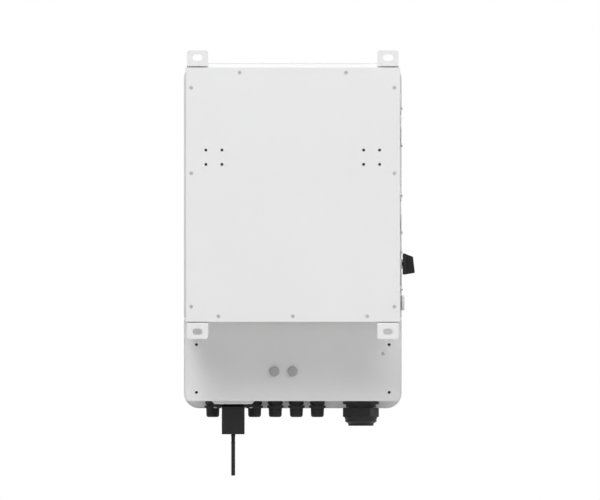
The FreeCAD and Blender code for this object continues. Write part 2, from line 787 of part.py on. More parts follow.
def logger_port():
    """Socket for the logger: a bevelled pad under the plate and a plug well inside the case."""
    top = gland_plate
    bottom = top - pad_thickness
    pad = [
        (logger_x - 41.5, top, 0), (logger_x + 41.5, top, 0), (logger_x + 36, bottom, 0),
        (logger_x - 36, bottom, 0),
    ]
    pad = prism(pad, "xz", logger_y - 17, logger_y + 17)
    well = around_logger(10, 8, bottom, top + 16)
    port = fused([pad, well])
    port = port.cut(around_logger(6.4, 3, bottom - 1, top + 13))
    return port.cut([rod(1.9, (x, logger_y, bottom - 1), (x, logger_y, top + 1)) for x in logger_screw_x()])


def logger_case():
    """Plug-in logger: hollow case, screw flange, sealing collar and plug."""
    flange_bottom = logger_flange_top - logger_flange
    depth = (logger_y - logger_half_depth, logger_y + logger_half_depth)
    x = (logger_x - logger_half_width, logger_x + logger_half_width)
    shell = prism(rounded_rectangle(x, (logger_bottom, logger_flange_top), 2), "xz", depth[0], depth[1])
    flange_x = (logger_x - 39.5, logger_x + 39.5)
    flange = prism(rounded_rectangle(flange_x, depth, 4), "xy", flange_bottom, logger_flange_top)
    collar = rounded_rectangle((logger_x - 19, logger_x + 19), (depth[0] + 1, depth[1] - 1), 3)
    collar = prism(collar, "xy", logger_flange_top - 1, gland_plate - pad_thickness)
    plug = around_logger(6, 2.3, logger_flange_top, gland_plate + 9)
    case = fused([shell, flange, collar, plug])
    room = (logger_half_width - logger_wall, logger_half_depth - logger_wall)
    case = case.cut(around_logger(room[0], room[1], logger_bottom + logger_wall, flange_bottom))
    holes = []
    for screw_x in logger_screw_x():
        start = (screw_x, logger_y, flange_bottom - 1)
        holes.append(rod(1.9, start, (screw_x, logger_y, logger_flange_top + 1)))
    floor = (logger_bottom - 1, logger_bottom + 3)
    holes.append(rod(3.0, (logger_x, logger_y, floor[0]), (logger_x, logger_y, floor[1])))
    return case.cut(holes)


def logger_screws():
    """Two screws that hold the logger's flange to the pad."""
    seat_z = logger_flange_top - logger_flange
    screws = [pan_screw((x, logger_y, seat_z), (0, 0, -1), 3.4, 2.4, 1.6, 11) for x in logger_screw_x()]
    return Part.makeCompound(screws)


def antenna_fork():
    """Swivel base: a barrel with a peg into the logger and two cheeks around the tilt pin."""
    top = logger_bottom - 0.2
    cheek_end = antenna_pivot - 4.2
    profile = [
        (0, cheek_end, 0), (joint_radius, cheek_end, 1.8), (joint_radius, top, 0.6), (2.95, top, 0),
        (2.95, top + 4.5, 0.4), (0, top + 4.5, 0),
    ]
    base = turned(profile, (logger_x, logger_y, 0), (0, 0, 1))
    half = tongue_half + gap
    x = (logger_x - joint_radius - 1, logger_x + joint_radius + 1)
    base = base.cut(box(x, (logger_y - half, logger_y + half), (cheek_end - 1, antenna_pivot + 4.6)))
    reach = joint_radius - 0.8
    pin = rod(1.1, (logger_x, logger_y - reach, antenna_pivot), (logger_x, logger_y + reach, antenna_pivot))
    return fused([base, pin])


def antenna_rod():
    """Antenna rod with a tongue that turns on the tilt pin."""
    shoulder = antenna_pivot - 5.6
    profile = [
        (0, antenna_tip, 0), (antenna_radius, antenna_tip, 1.0), (antenna_radius, shoulder - 4.0, 1.0),
        (joint_radius, shoulder - 1.4, 0.6), (joint_radius, shoulder, 0.3), (0, shoulder, 0),
    ]
    stem = turned(profile, (logger_x, logger_y, 0), (0, 0, 1))
    y = (logger_y - tongue_half, logger_y + tongue_half)
    eye = rod(3.6, (logger_x, y[0], antenna_pivot), (logger_x, y[1], antenna_pivot))
    tongue = box((logger_x - 3.6, logger_x + 3.6), y, (antenna_pivot - 6, antenna_pivot))
    rod_solid = fused([stem, eye, tongue])
    return rod_solid.cut(rod(1.15, (logger_x, y[0] - 1, antenna_pivot), (logger_x, y[1] + 1, antenna_pivot)))


# ---- isolator and power button ------------------------------------------------------------------
def isolator_parts():
    """Rotary isolator: contact block inside, plate and collar outside, and the knob on its shaft."""
    wall = -housing_half_width
    inside = wall + sheet
    seat = (wall, isolator_y, isolator_z)
    half = isolator_block / 2
    y = (isolator_y - half, isolator_y + half)
    z = (isolator_z - half, isolator_z + half)
    block = prism(rounded_rectangle(y, z, 2), "yz", inside, inside + 52)
    bore_end = inside + shaft_depth + 1
    bore = rod(shaft_radius + 0.05, (inside - 1, isolator_y, isolator_z), (bore_end, isolator_y, isolator_z))
    save("isolator_block", block.cut(bore))
    save("isolator_plate", ring(19.0, 9.6, 0.7, seat, (-1, 0, 0)))
    collar = [(4.05, 0, 0), (9.3, 0, 0), (9.3, 3.6, 0.4), (4.05, 3.6, 0)]
    save("isolator_collar", turned(collar, seat, (-1, 0, 0)))
    knob_x = wall - 3.9
    disc = [(0, 0, 0), (19.6, 0, 0), (20.4, 0.8, 0), (20.4, 6.8, 2.0), (0, 6.8, 0)]
    disc = turned(disc, (knob_x, isolator_y, isolator_z), (-1, 0, 0))
    grip = [
        (knob_x - 1.8, isolator_z - 19.5, 0), (knob_x - 4.0, isolator_z - 20.6, 1.0),
        (knob_x - 23.8, isolator_z - 17.3, 1.5), (knob_x - 20.0, isolator_z + 14.3, 1.5),
        (knob_x - 1.4, isolator_z + 21.2, 1.0), (knob_x - 0.8, isolator_z, 0),
    ]
    grip = prism(grip, "xz", isolator_y - 8, isolator_y + 8)
    long_edges = [e for e in grip.Edges if e.BoundBox.YLength < 0.01 and e.BoundBox.XMax < knob_x - 4.8]
    grip = grip.makeFillet(1.6, long_edges)
    shaft_end = inside + shaft_depth
    shaft = rod(shaft_radius, (knob_x - 6, isolator_y, isolator_z), (shaft_end, isolator_y, isolator_z))
    save("isolator_knob", fused([disc, grip, shaft]))


def button_parts():
    """Power button: rubber seal, threaded body with a light bezel, and the cap."""
    seat = (-housing_half_width, button_y, button_z)
    seal = [(11.2, 0, 0), (14.6, 0, 0), (14.6, 2.0, 0.6), (11.2, 2.0, 0)]
    save("button_seal", turned(seal, seat, (-1, 0, 0)))
    body = [
        (0, -32, 0), (10.9, -32, 0.5), (10.9, 2.0, 0), (14.4, 2.0, 0), (14.4, 7.6, 1.4),
        (10.3, 7.6, 0), (10.3, -12, 0), (0, -12, 0),
    ]
    save("button_body", turned(body, seat, (-1, 0, 0)))
    cap = [(0, -4.5, 0), (9.9, -4.5, 0), (9.9, 7.1, 0.9), (7.5, 6.7, 0), (0, 6.7, 0)]
    save("button_cap", turned(cap, seat, (-1, 0, 0)))


# ---- display ------------------------------------------------------------------------------------
def display_window():
    """Glossy front panel around the display, with round holes for the keys and lamps."""
    corners = rounded_rectangle((-92, 92), (panel_centre_z - 44, panel_centre_z + 44), 12)
    panel = prism(corners, "xz", case_front - 2.2, case_front)
    y = (case_front - 3, case_front + 1)
    cutters = [rod(key_radius + 0.3, (x, y[0], z), (x, y[1], z)) for x, z in key_places()]
    cutters += [rod(2.7, (x, y[0], z), (x, y[1], z)) for x, z in led_places()]
    return panel.cut(cutters)


def key_cap(height):
    """One key: a round cap, a retaining flange behind the cover and a stem."""
    back = case_front + sheet
    profile = [
        (0, 0, 0), (2.5, 0, 0), (2.5, 7.5, 0), (8.0, 7.5, 0), (8.0, 9.0, 0), (key_radius, 9.0, 0),
        (key_radius, 16.8, 0.8), (0, 16.8, 0),
    ]
    return turned(profile, (key_x, back + 10.7, height), (0, -1, 0))


def display_parts():
    """Panel, display module, lamps, keys and the board that carries them."""
    save("display_window", display_window())
    module = (board_front - 14, board_front)
    save("display_module", box((-45, 45), module, (panel_centre_z - 28, panel_centre_z + 28)))
    lamp = [(0, 0, 0), (2.4, 0, 0), (2.4, 22.0, 2.0), (0, 22.0, 0)]
    lamps = [turned(lamp, (x, board_front, z), (0, -1, 0)) for x, z in led_places()]
    save("lamp_lenses", Part.makeCompound(lamps))
    for name, height in key_heights.items():
        save("key_" + name, key_cap(height))
    switches = []
    for x, z in key_places():
        body = box((x - 3, x + 3), (board_front - 3.5, board_front), (z - 3, z + 3))
        switches.append(fused([body, rod(1.7, (x, board_front - 4.4, z), (x, board_front - 3, z))]))
    save("key_switches", Part.makeCompound(switches))
    board = box((-112, 112), (board_front, board_front + board_thickness), (85, 215))
    holes = [rod(2.0, (x, board_front - 1, z), (x, board_front + 3, z)) for x, z in display_post_places()]
    save("control_board", board.cut(holes))


def display_post_places():
    """(x, z) of the posts between the front cover and the control board."""
    return [(x, z) for x in (-104, 104) for z in (93, 207)]


def power_post_places():
    """(x, z) of the posts between the heat sink and the power board."""
    return [(x, z) for x in (-132, 22, 177) for z in (-198, 0, 198)]


# ---- power electronics --------------------------------------------------------------------------
def power_electronics():
    """Boards, modules and wound parts inside the sealed case."""
    base_front = housing_rear - sheet - base_thickness
    board = box((-140, 185), (power_board_front, power_board_rear), (-205, 205))
    drill = (power_board_front - 1, power_board_rear + 1)
    holes = [rod(2.0, (x, drill[0], z), (x, drill[1], z)) for x, z in power_post_places()]
    save("power_board", board.cut(holes))
    posts = [rod(4, (x, power_board_rear, z), (x, base_front, z)) for x, z in power_post_places()]
    cover_inside = case_front + sheet
    posts += [rod(3.5, (x, cover_inside, z), (x, board_front, z)) for x, z in display_post_places()]
    save("board_posts", Part.makeCompound(posts))
    modules = []
    for x in (-100, -40, 70, 130):
        for z in (-110, 70):
            modules.append(box((x - 28, x + 28), (base_front - 12, base_front), (z - 17, z + 17)))
    save("power_modules", Part.makeCompound(modules))
    cans = []
    can = [
        (0, 0, 0), (17.2, 0, 1.5), (17.2, 4, 0.8), (16.6, 5, 0.4), (17.2, 6, 0.8), (17.2, 50, 1.5),
        (0, 50, 0),
    ]
    for column in range(4):
        for row in range(2):
            cans.append(turned(can, (45 + column * 38, power_board_front, 185 - row * 40), (0, -1, 0)))
    save("bus_capacitors", Part.makeCompound(cans))
    chokes = []
    for x in (-105, -40):
        for z in (165, 95):
            chokes.append(Part.makeTorus(20, 10.5, Vector(x, power_board_front - 10.6, z), Vector(0, 1, 0)))
    save("filter_chokes", Part.makeCompound(chokes))
    y = (power_board_front - 50, power_board_front)
    core = box((50, 150), y, (-70, 20))
    windows = [box(x, (y[0] - 1, y[1] - 4), (-80, 30)) for x in ((72, 90), (110, 128))]
    save("transformer", core.cut(windows))
    relay_y = (power_board_front - 18, power_board_front)
    relays = [box((x - 11, x + 11), relay_y, (-195, -167)) for x in range(-110, 120, 44)]
    save("relays", Part.makeCompound(relays))


def terminals():
    """Terminal blocks and battery studs on the back wall of the wiring box."""
    rear = housing_rear - sheet
    blocks = []
    for middle in (150, 85, 20):
        block = box((middle - 28, middle + 28), (rear - 40, rear), (-300, -262))
        for step in (-18, 0, 18):
            x = middle + step
            well = rod(4.5, (x, rear - 41, -272), (x, rear - 26, -272))
            entry = box((x - 6, x + 6), (rear - 22, rear - 8), (-301, -284))
            block = block.cut([well, entry])
        blocks.append(block)
    save("terminal_blocks", Part.makeCompound(blocks))
    base = box((-165, -97), (rear - 28, rear), (-305, -262))
    base = base.cut(box((-133, -129), (rear - 29, rear - 10), (-306, -261)))
    studs = [rod(4, (x, rear - 46, -283), (x, rear - 5, -283)) for x in (-149, -113)]
    save("battery_terminals", fused([base] + studs))


# ---- all pieces ---------------------------------------------------------------------------------
save("duct_cover", duct_cover())
save("duct_cover_screws", duct_cover_screws())
save("duct_frame", duct_frame())
save("heat_sink", heat_sink())
for fan_name, fan_height in fan_heights.items():
    save("fan_frame_" + fan_name, fan_frame(fan_height))
    save("fan_rotor_" + fan_name, fan_rotor(fan_height))
save("fan_guards", fan_guards())
save("fan_screws", fan_screws())
save("main_housing", main_housing())
save("divider_plate", divider_plate())
save("front_cover", front_cover())
save("front_cover_gasket", gasket(cover_split + 0.6, case_top))
save("front_cover_screws", front_cover_screws())
save("wiring_cover", wiring_cover())
save("wiring_cover_gasket", gasket(case_bottom, cover_split - 0.6))
save("wiring_cover_screws", wiring_cover_screws())
save("vent_plugs", vent_plugs())
save("earth_screw", earth_screw())
small_gland_parts()
large_gland_parts()
save("logger_port", logger_port())
save("logger_case", logger_case())
save("logger_screws", logger_screws())
save("antenna_fork", antenna_fork())
save("antenna_rod", antenna_rod())
isolator_parts()
button_parts()
display_parts()
power_electronics()
terminals()
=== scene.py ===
import json
import math

import bmesh
import bpy
from mathutils import Matrix, Vector


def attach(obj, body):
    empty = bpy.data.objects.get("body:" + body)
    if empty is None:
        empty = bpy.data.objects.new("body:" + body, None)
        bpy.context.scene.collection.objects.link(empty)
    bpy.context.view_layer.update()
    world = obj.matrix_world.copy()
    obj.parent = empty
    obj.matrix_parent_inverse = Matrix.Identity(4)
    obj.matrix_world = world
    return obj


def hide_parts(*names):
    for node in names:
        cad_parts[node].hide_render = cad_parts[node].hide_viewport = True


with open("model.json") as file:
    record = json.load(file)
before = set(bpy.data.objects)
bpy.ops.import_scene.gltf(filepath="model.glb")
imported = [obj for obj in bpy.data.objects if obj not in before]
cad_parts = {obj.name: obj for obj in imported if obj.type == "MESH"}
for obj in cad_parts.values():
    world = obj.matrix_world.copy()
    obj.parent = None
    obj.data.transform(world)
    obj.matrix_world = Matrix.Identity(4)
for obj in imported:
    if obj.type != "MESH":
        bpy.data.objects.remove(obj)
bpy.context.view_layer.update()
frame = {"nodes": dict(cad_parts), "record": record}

MM = 0.001
CASE = "case"
WALL_SIDE = Vector((0, 1, 0))
FRONT_SIDE = Vector((0, -1, 0))
LEFT_SIDE = Vector((-1, 0, 0))
UP = Vector((0, 0, 1))
DOWN = Vector((0, 0, -1))

# Places on the object, in millimetres.
SIDE_WALL = -207.7
LOWER_PANEL = -92
COVER_FACE = -0.3
FRONT_FACE = -233
GLAND_PLATE = -397.7
FAN_HEIGHTS = (131, -37, -146)
FAN_DEPTH = -51
FAN_PITCH = 71.5
SMALL_GLANDS = (154.1, 73.6, 33.7, -6.9, -47.4)
SMALL_GLAND_DEPTH = -155
LARGE_GLAND = (-131.2, -142)
LOGGER_AXIS = (114.8, -112)
LOGGER_SHELF = -409
LOGGER_SCREW_REACH = 34
CONTROLS_DEPTH = -150
ISOLATOR_HEIGHT = -133.7
BUTTON_HEIGHT = -208.8
PANEL_HEIGHT = 160
KEY_ROWS = (190, 170, 150, 130)
KEY_COLUMN = 70

# Places around the object, in metres, and the surroundings' brightness.
VIEW_WIDTH = 1.156
VIEW_CENTRE = Vector((-0.0139, 0, -0.1067))
LIGHT_TARGET = Vector((0, 0, -0.08))
FLOOR_LEVEL = -1.7
FLOOR_SIZE = 60.0
HORIZON_GLOW = 0.80
ZENITH_GLOW = 0.04


def rounded_path(points, steps=5, closed=False):
    """2-D points of a path whose (u, v, radius) corners are rounded by arcs; metres from millimetres."""
    path = []
    count = len(points)
    for index, (u, v, radius) in enumerate(points):
        corner = Vector((u, v))
        inner = closed or 0 < index < count - 1
        if radius == 0 or not inner:
            path.append(corner)
            continue
        before = Vector(points[index - 1][:2]) - corner
        after = Vector(points[(index + 1) % count][:2]) - corner
        before.normalize()
        after.normalize()
        half = before.angle(after) / 2
        start = corner + before * (radius / math.tan(half))
        centre = corner + (before + after).normalized() * (radius / math.sin(half))
        first = start - centre
        last = corner + after * (radius / math.tan(half)) - centre
        turn = first.angle_signed(last)
        for step in range(steps + 1):
            path.append(centre + Matrix.Rotation(-turn * step / steps, 2) @ first)
    return [point * MM for point in path]


def facing(outward):
    """Axes for work on a face: +Z is outward, +Y is up (or to the wall, on a level face)."""
    upward = UP if abs(outward.z) < 0.5 else WALL_SIDE
    return Matrix((upward.cross(outward), upward, outward)).transposed().to_4x4()


def make_object(name, bm, smooth_angle=35):
    """New object from a bmesh, smooth except across edges sharper than an angle in degrees."""
    bmesh.ops.remove_doubles(bm, verts=bm.verts, dist=1e-7)
    bmesh.ops.recalc_face_normals(bm, faces=bm.faces)
    limit = math.radians(smooth_angle)
    for face in bm.faces:
        face.smooth = True
    for edge in bm.edges:
        edge.smooth = len(edge.link_faces) == 2 and edge.calc_face_angle(0) < limit
    mesh = bpy.data.meshes.new(name)
    bm.to_mesh(mesh)
    bm.free()
    piece = bpy.data.objects.new(name, mesh)
    bpy.context.scene.collection.objects.link(piece)
    return piece


def add_turned(bm, profile, place, outward, segments=64, shape=None):
    """Adds a surface of revolution; shape(angle, radius, height) may change the radius; all in metres."""
    turn = Matrix.Translation(place) @ facing(outward)
    rings = []
    for point in profile:
        if point.x < 1e-6:
            rings.append([bm.verts.new(turn @ Vector((0, 0, point.y)))])
            continue
        ring = []
        for index in range(segments):
            angle = 2 * math.pi * index / segments
            radius = shape(angle, point.x, point.y) if shape else point.x
            spot = Vector((radius * math.cos(angle), radius * math.sin(angle), point.y))
            ring.append(bm.verts.new(turn @ spot))
        rings.append(ring)
    for lower, upper in zip(rings, rings[1:]):
        for index in range(segments):
            following = (index + 1) % segments
            corners = [lower[index % len(lower)], lower[following % len(lower)]]
            corners += [upper[following % len(upper)], upper[index % len(upper)]]
            unique = list(dict.fromkeys(corners))
            if len(unique) > 2:
                bm.faces.new(unique)


def add_prism(bm, path, low, high, place, turn, bevel=0.0, steps=3):
    """Adds a closed 2-D path, extruded between two heights in metres, with its end edges rounded."""
    part = bmesh.new()
    bottom = part.faces.new([part.verts.new((point.x, point.y, low)) for point in path])
    result = bmesh.ops.extrude_face_region(part, geom=[bottom])
    for vert in [item for item in result["geom"] if isinstance(item, bmesh.types.BMVert)]:
        vert.co.z = high
    bmesh.ops.recalc_face_normals(part, faces=part.faces)
    if bevel:
        rims = [edge for edge in part.edges if abs(edge.verts[0].co.z - edge.verts[1].co.z) < 1e-7]
        bmesh.ops.bevel(
            part, geom=rims, offset=bevel, segments=steps, profile=0.5, affect="EDGES", clamp_overlap=True
        )
    part.transform(Matrix.Translation(place) @ turn)
    append(bm, part)


def append(bm, part):
    """Moves all of one bmesh into another."""
    mesh = bpy.data.meshes.new("part")
    part.to_mesh(mesh)
    part.free()
    bm.from_mesh(mesh)
    bpy.data.meshes.remove(mesh)


def rectangle(width, height, radius, centre=(0, 0), steps=5):
    """Closed rounded rectangle in metres from sizes in millimetres."""
    x = width / 2
    y = height / 2
    u, v = centre
    corners = [(u - x, v - y, radius), (u + x, v - y, radius), (u + x, v + y, radius), (u - x, v + y, radius)]
    return rounded_path(corners, steps, closed=True)


def add_wire(bm, points, radius, closed=False, sides=12):
    """Adds a round wire along points that lie in metres."""
    curve = bpy.data.curves.new("wire", "CURVE")
    curve.dimensions = "3D"
    spline = curve.splines.new("POLY")
    spline.points.add(len(points) - 1)
    for target, point in zip(spline.points, points):
        target.co = (*point, 1)
    spline.use_cyclic_u = closed
    curve.bevel_depth = radius
    curve.bevel_resolution = sides // 4
    curve.use_fill_caps = True
    holder = bpy.data.objects.new("wire", curve)
    mesh = bpy.data.meshes.new_from_object(holder)
    bm.from_mesh(mesh)
    bpy.data.objects.remove(holder)
    bpy.data.curves.remove(curve)
    bpy.data.meshes.remove(mesh)


def carve(piece, cutter):
    """Cuts one object out of another for good and removes the cutter."""
    modifier = piece.modifiers.new("carve", "BOOLEAN")
    modifier.operation = "DIFFERENCE"
    modifier.solver = "EXACT"
    modifier.object = cutter
    bpy.context.view_layer.update()
    result = bpy.data.meshes.new_from_object(piece.evaluated_get(bpy.context.evaluated_depsgraph_get()))
    piece.modifiers.clear()
    old = piece.data
    piece.data = result
    bpy.data.meshes.remove(old)
    bpy.data.objects.remove(cutter)


def copies(name, master, placements):
    """One object made of copies of a master mesh; the master is removed."""
    bm = bmesh.new()
    for placement in placements:
        part = bmesh.new()
        part.from_mesh(master.data)
        part.transform(placement)
        append(bm, part)
    bpy.data.objects.remove(master)
    return make_object(name, bm)


def stand_for(piece, body, node, material):
    """Rides a piece on a body in place of a CAD node and its material."""
    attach(piece, body)
    if node:
        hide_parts(node)
    piece.data.materials.clear()
    piece.data.materials.append(material)


class Shader:
    """A material's node tree with short calls for its usual nodes."""

    def __init__(self, name, **sockets):
        self.material = bpy.data.materials.new(name)
        self.material.use_nodes = True
        self.tree = self.material.node_tree
        self.surface = self.tree.nodes["Principled BSDF"]
        for key, value in sockets.items():
            self.surface.inputs[key.replace("_", " ")].default_value = value
        self.place = self.node("ShaderNodeTexCoord").outputs["Object"]

    def node(self, kind, **settings):
        made = self.tree.nodes.new(kind)
        for key, value in settings.items():
            setattr(made, key, value)
        return made

    def link(self, source, target):
        self.tree.links.new(source, target)

    def noise(self, scale, detail=2.0, stretch=None):
        source = self.place
        if stretch:
            mapping = self.node("ShaderNodeMapping")
            mapping.inputs["Scale"].default_value = stretch
            self.link(self.place, mapping.inputs["Vector"])
            source = mapping.outputs["Vector"]
        made = self.node("ShaderNodeTexNoise")
        made.inputs["Scale"].default_value = scale
        made.inputs["Detail"].default_value = detail
        self.link(source, made.inputs["Vector"])
        return made.outputs["Fac"]

    def ramp(self, source, low, high, start, end):
        """Linear change from one value to another as the source goes from low to high."""
        made = self.node("ShaderNodeMapRange", clamp=True)
        made.inputs["From Min"].default_value = low
        made.inputs["From Max"].default_value = high
        made.inputs["To Min"].default_value = start
        made.inputs["To Max"].default_value = end
        self.link(source, made.inputs["Value"])
        return made.outputs["Result"]

    def mix(self, factor, first, second):
        made = self.node("ShaderNodeMix", data_type="RGBA")
        self.link(factor, made.inputs["Factor"])
        for socket, value in ((made.inputs[6], first), (made.inputs[7], second)):
            if isinstance(value, tuple):
                socket.default_value = (*value, 1)
            else:
                self.link(value, socket)
        return made.outputs[2]

    def edges(self, width, low=0.02, high=0.25):
        """Mask of convex and concave edges: 1 at an edge, 0 away from it."""
        bevel = self.node("ShaderNodeBevel", samples=4)
        bevel.inputs["Radius"].default_value = width * MM
        normal = self.node("ShaderNodeNewGeometry").outputs["Normal"]
        dot = self.node("ShaderNodeVectorMath", operation="DOT_PRODUCT")
        self.link(bevel.outputs["Normal"], dot.inputs[0])
        self.link(normal, dot.inputs[1])
        return self.ramp(dot.outputs["Value"], 1 - low, 1 - high, 0, 1)

    def bump(self, heights):
        """Stacks bump layers, given as (source, depth in millimetres) pairs."""
        previous = None
        for source, depth in heights:
            made = self.node("ShaderNodeBump")
            made.inputs["Distance"].default_value = depth * MM
            self.link(source, made.inputs["Height"])
            if previous:
                self.link(previous, made.inputs["Normal"])
            previous = made.outputs["Normal"]
        self.link(previous, self.surface.inputs["Normal"])

    def set(self, name, source):
        self.link(source, self.surface.inputs[name])


def powder_coat(name, colour):
    """Fine textured powder coat: orange peel, small grains, faint tone drift, and edges painted lighter as a
    painted highlight.
    """
    shader = Shader(name, IOR=1.5, Specular_IOR_Level=0.32)
    grain = shader.noise(1400, 3)
    peel = shader.noise(420, 2)
    drift = shader.noise(5, 3)
    dark = tuple(channel * 0.975 for channel in colour)
    base = shader.mix(shader.ramp(drift, 0.3, 0.7, 0, 1), dark, colour)
    speck = shader.ramp(shader.noise(2300, 1), 0.30, 0.22, 0, 0.35)
    base = shader.mix(speck, base, tuple(channel * 0.8 for channel in colour))
    # Painted highlight: the colour is painted a little lighter along convex and concave edges found by the
    # bevel mask.
    painted_edge_highlight = tuple(min(1, channel * 1.04) for channel in colour)
    base = shader.mix(shader.edges(0.8), base, painted_edge_highlight)
    shader.set("Base Color", base)
    shader.set("Roughness", shader.ramp(peel, 0.3, 0.7, 0.5, 0.64))
    shader.bump([(peel, 0.05), (grain, 0.03)])
    return shader.material


def moulded(name, colour, roughness=0.5, grain=0.04, edge_highlight_gain=1.6, speckle=0.0, shine=0.5):
    """Moulded plastic: spark-eroded grain, flow marks, and edges painted a little lighter as a painted
    highlight.
    """
    shader = Shader(name, IOR=1.46, Specular_IOR_Level=shine)
    fine = shader.noise(1700, 4)
    flow = shader.noise(60, 3, stretch=(1, 1, 0.25))
    base = shader.mix(shader.ramp(flow, 0.3, 0.7, 0, 1), tuple(c * 0.88 for c in colour), colour)
    if speckle:
        dust = shader.ramp(shader.noise(700, 6), 0.6, 0.75, 0, speckle)
        base = shader.mix(dust, base, tuple(min(1, c * 2.5 + 0.02) for c in colour))
    # Painted highlight: the colour is painted lighter along convex and concave edges found by the bevel mask.
    base = shader.mix(shader.edges(0.5), base, tuple(min(1, c * edge_highlight_gain + 0.004) for c in colour))
    shader.set("Base Color", base)
    shader.set("Roughness", shader.ramp(fine, 0.3, 0.7, roughness - 0.06, roughness + 0.08))
    shader.bump([(fine, grain), (flow, 0.02)])
    return shader.material


def rubber(name, colour):
    """Moulded rubber: matt, with a soft bloom and fine grain."""
    shader = Shader(name, IOR=1.5, Sheen_Weight=0.12, Sheen_Roughness=0.6)
    bloom = shader.noise(150, 5)
    base = shader.mix(shader.ramp(bloom, 0.35, 0.7, 0, 1), colour, tuple(c * 1.7 + 0.006 for c in colour))
    shader.set("Base Color", base)
    fine = shader.noise(1200, 3)
    shader.set("Roughness", shader.ramp(fine, 0.3, 0.7, 0.68, 0.85))
    shader.bump([(fine, 0.03)])
    return shader.material


def metal(name, colour, roughness=0.32, stretch=(1, 1, 1), scale=500, stain=0.12):
    """Bare or plated metal: drawn streaks, dull patches, and edges painted brighter as a painted highlight.
    """
    shader = Shader(name, Metallic=1.0)
    streak = shader.noise(scale, 4, stretch=stretch)
    patch = shader.noise(90, 4)
    dull = tuple(c * (1 - stain) for c in colour)
    base = shader.mix(shader.ramp(patch, 0.35, 0.65, 0, 1), colour, dull)
    # Painted highlight: the base colour is painted brighter along convex and concave edges found by the bevel
    # mask.
    base = shader.mix(shader.edges(0.3), base, tuple(min(1, c * 1.15) for c in colour))
    shader.set("Base Color", base)
    shader.set("Roughness", shader.ramp(streak, 0.25, 0.75, roughness - 0.08, roughness + 0.14))
    shader.bump([(streak, 0.02), (patch, 0.02)])
    return shader.material


def gloss(name, colour, roughness=0.08, **extra):
    """Polished plastic: faint waviness, fine dust and hairline scuffs."""
    shader = Shader(name, IOR=1.5, Coat_Weight=0.6, Coat_Roughness=0.04, **extra)
    wave = shader.noise(35, 2)
    dust = shader.ramp(shader.noise(1500, 6), 0.62, 0.74, 0, 0.5)
    base = shader.mix(dust, colour, tuple(min(1, c * 1.6 + 0.02) for c in colour))
    shader.set("Base Color", base)
    scuff = shader.noise(500, 5, stretch=(0.15, 1, 1))
    shader.set("Roughness", shader.ramp(scuff, 0.45, 0.8, roughness, roughness + 0.14))
    shader.bump([(wave, 0.02)])
    return shader.material


def circuit_board(name):
    """Solder mask over tracks, with darker bare areas."""
    shader = Shader(name, IOR=1.5, Coat_Weight=0.3, Coat_Roughness=0.2)
    brick = shader.node("ShaderNodeTexBrick")
    brick.inputs["Scale"].default_value = 90
    brick.inputs["Mortar Size"].default_value = 0.03
    shader.link(shader.place, brick.inputs["Vector"])
    base = shader.mix(brick.outputs["Fac"], (0.015, 0.12, 0.05), (0.03, 0.2, 0.08))
    shader.set("Base Color", base)
    fine = shader.noise(600, 3)
    shader.set("Roughness", shader.ramp(fine, 0.3, 0.7, 0.3, 0.45))
    shader.bump([(brick.outputs["Fac"], 0.04)])
    return shader.material


def winding(name):
    """Turns of enamelled copper wire."""
    shader = Shader(name, Metallic=0.9)
    wave = shader.node("ShaderNodeTexWave", bands_direction="Z")
    wave.inputs["Scale"].default_value = 160
    wave.inputs["Distortion"].default_value = 0.6
    shader.link(shader.place, wave.inputs["Vector"])
    base = shader.mix(wave.outputs["Fac"], (0.25, 0.09, 0.03), (0.66, 0.31, 0.14))
    shader.set("Base Color", base)
    shader.set("Roughness", shader.ramp(shader.noise(300), 0.3, 0.7, 0.28, 0.4))
    shader.bump([(wave.outputs["Fac"], 0.3)])
    return shader.material


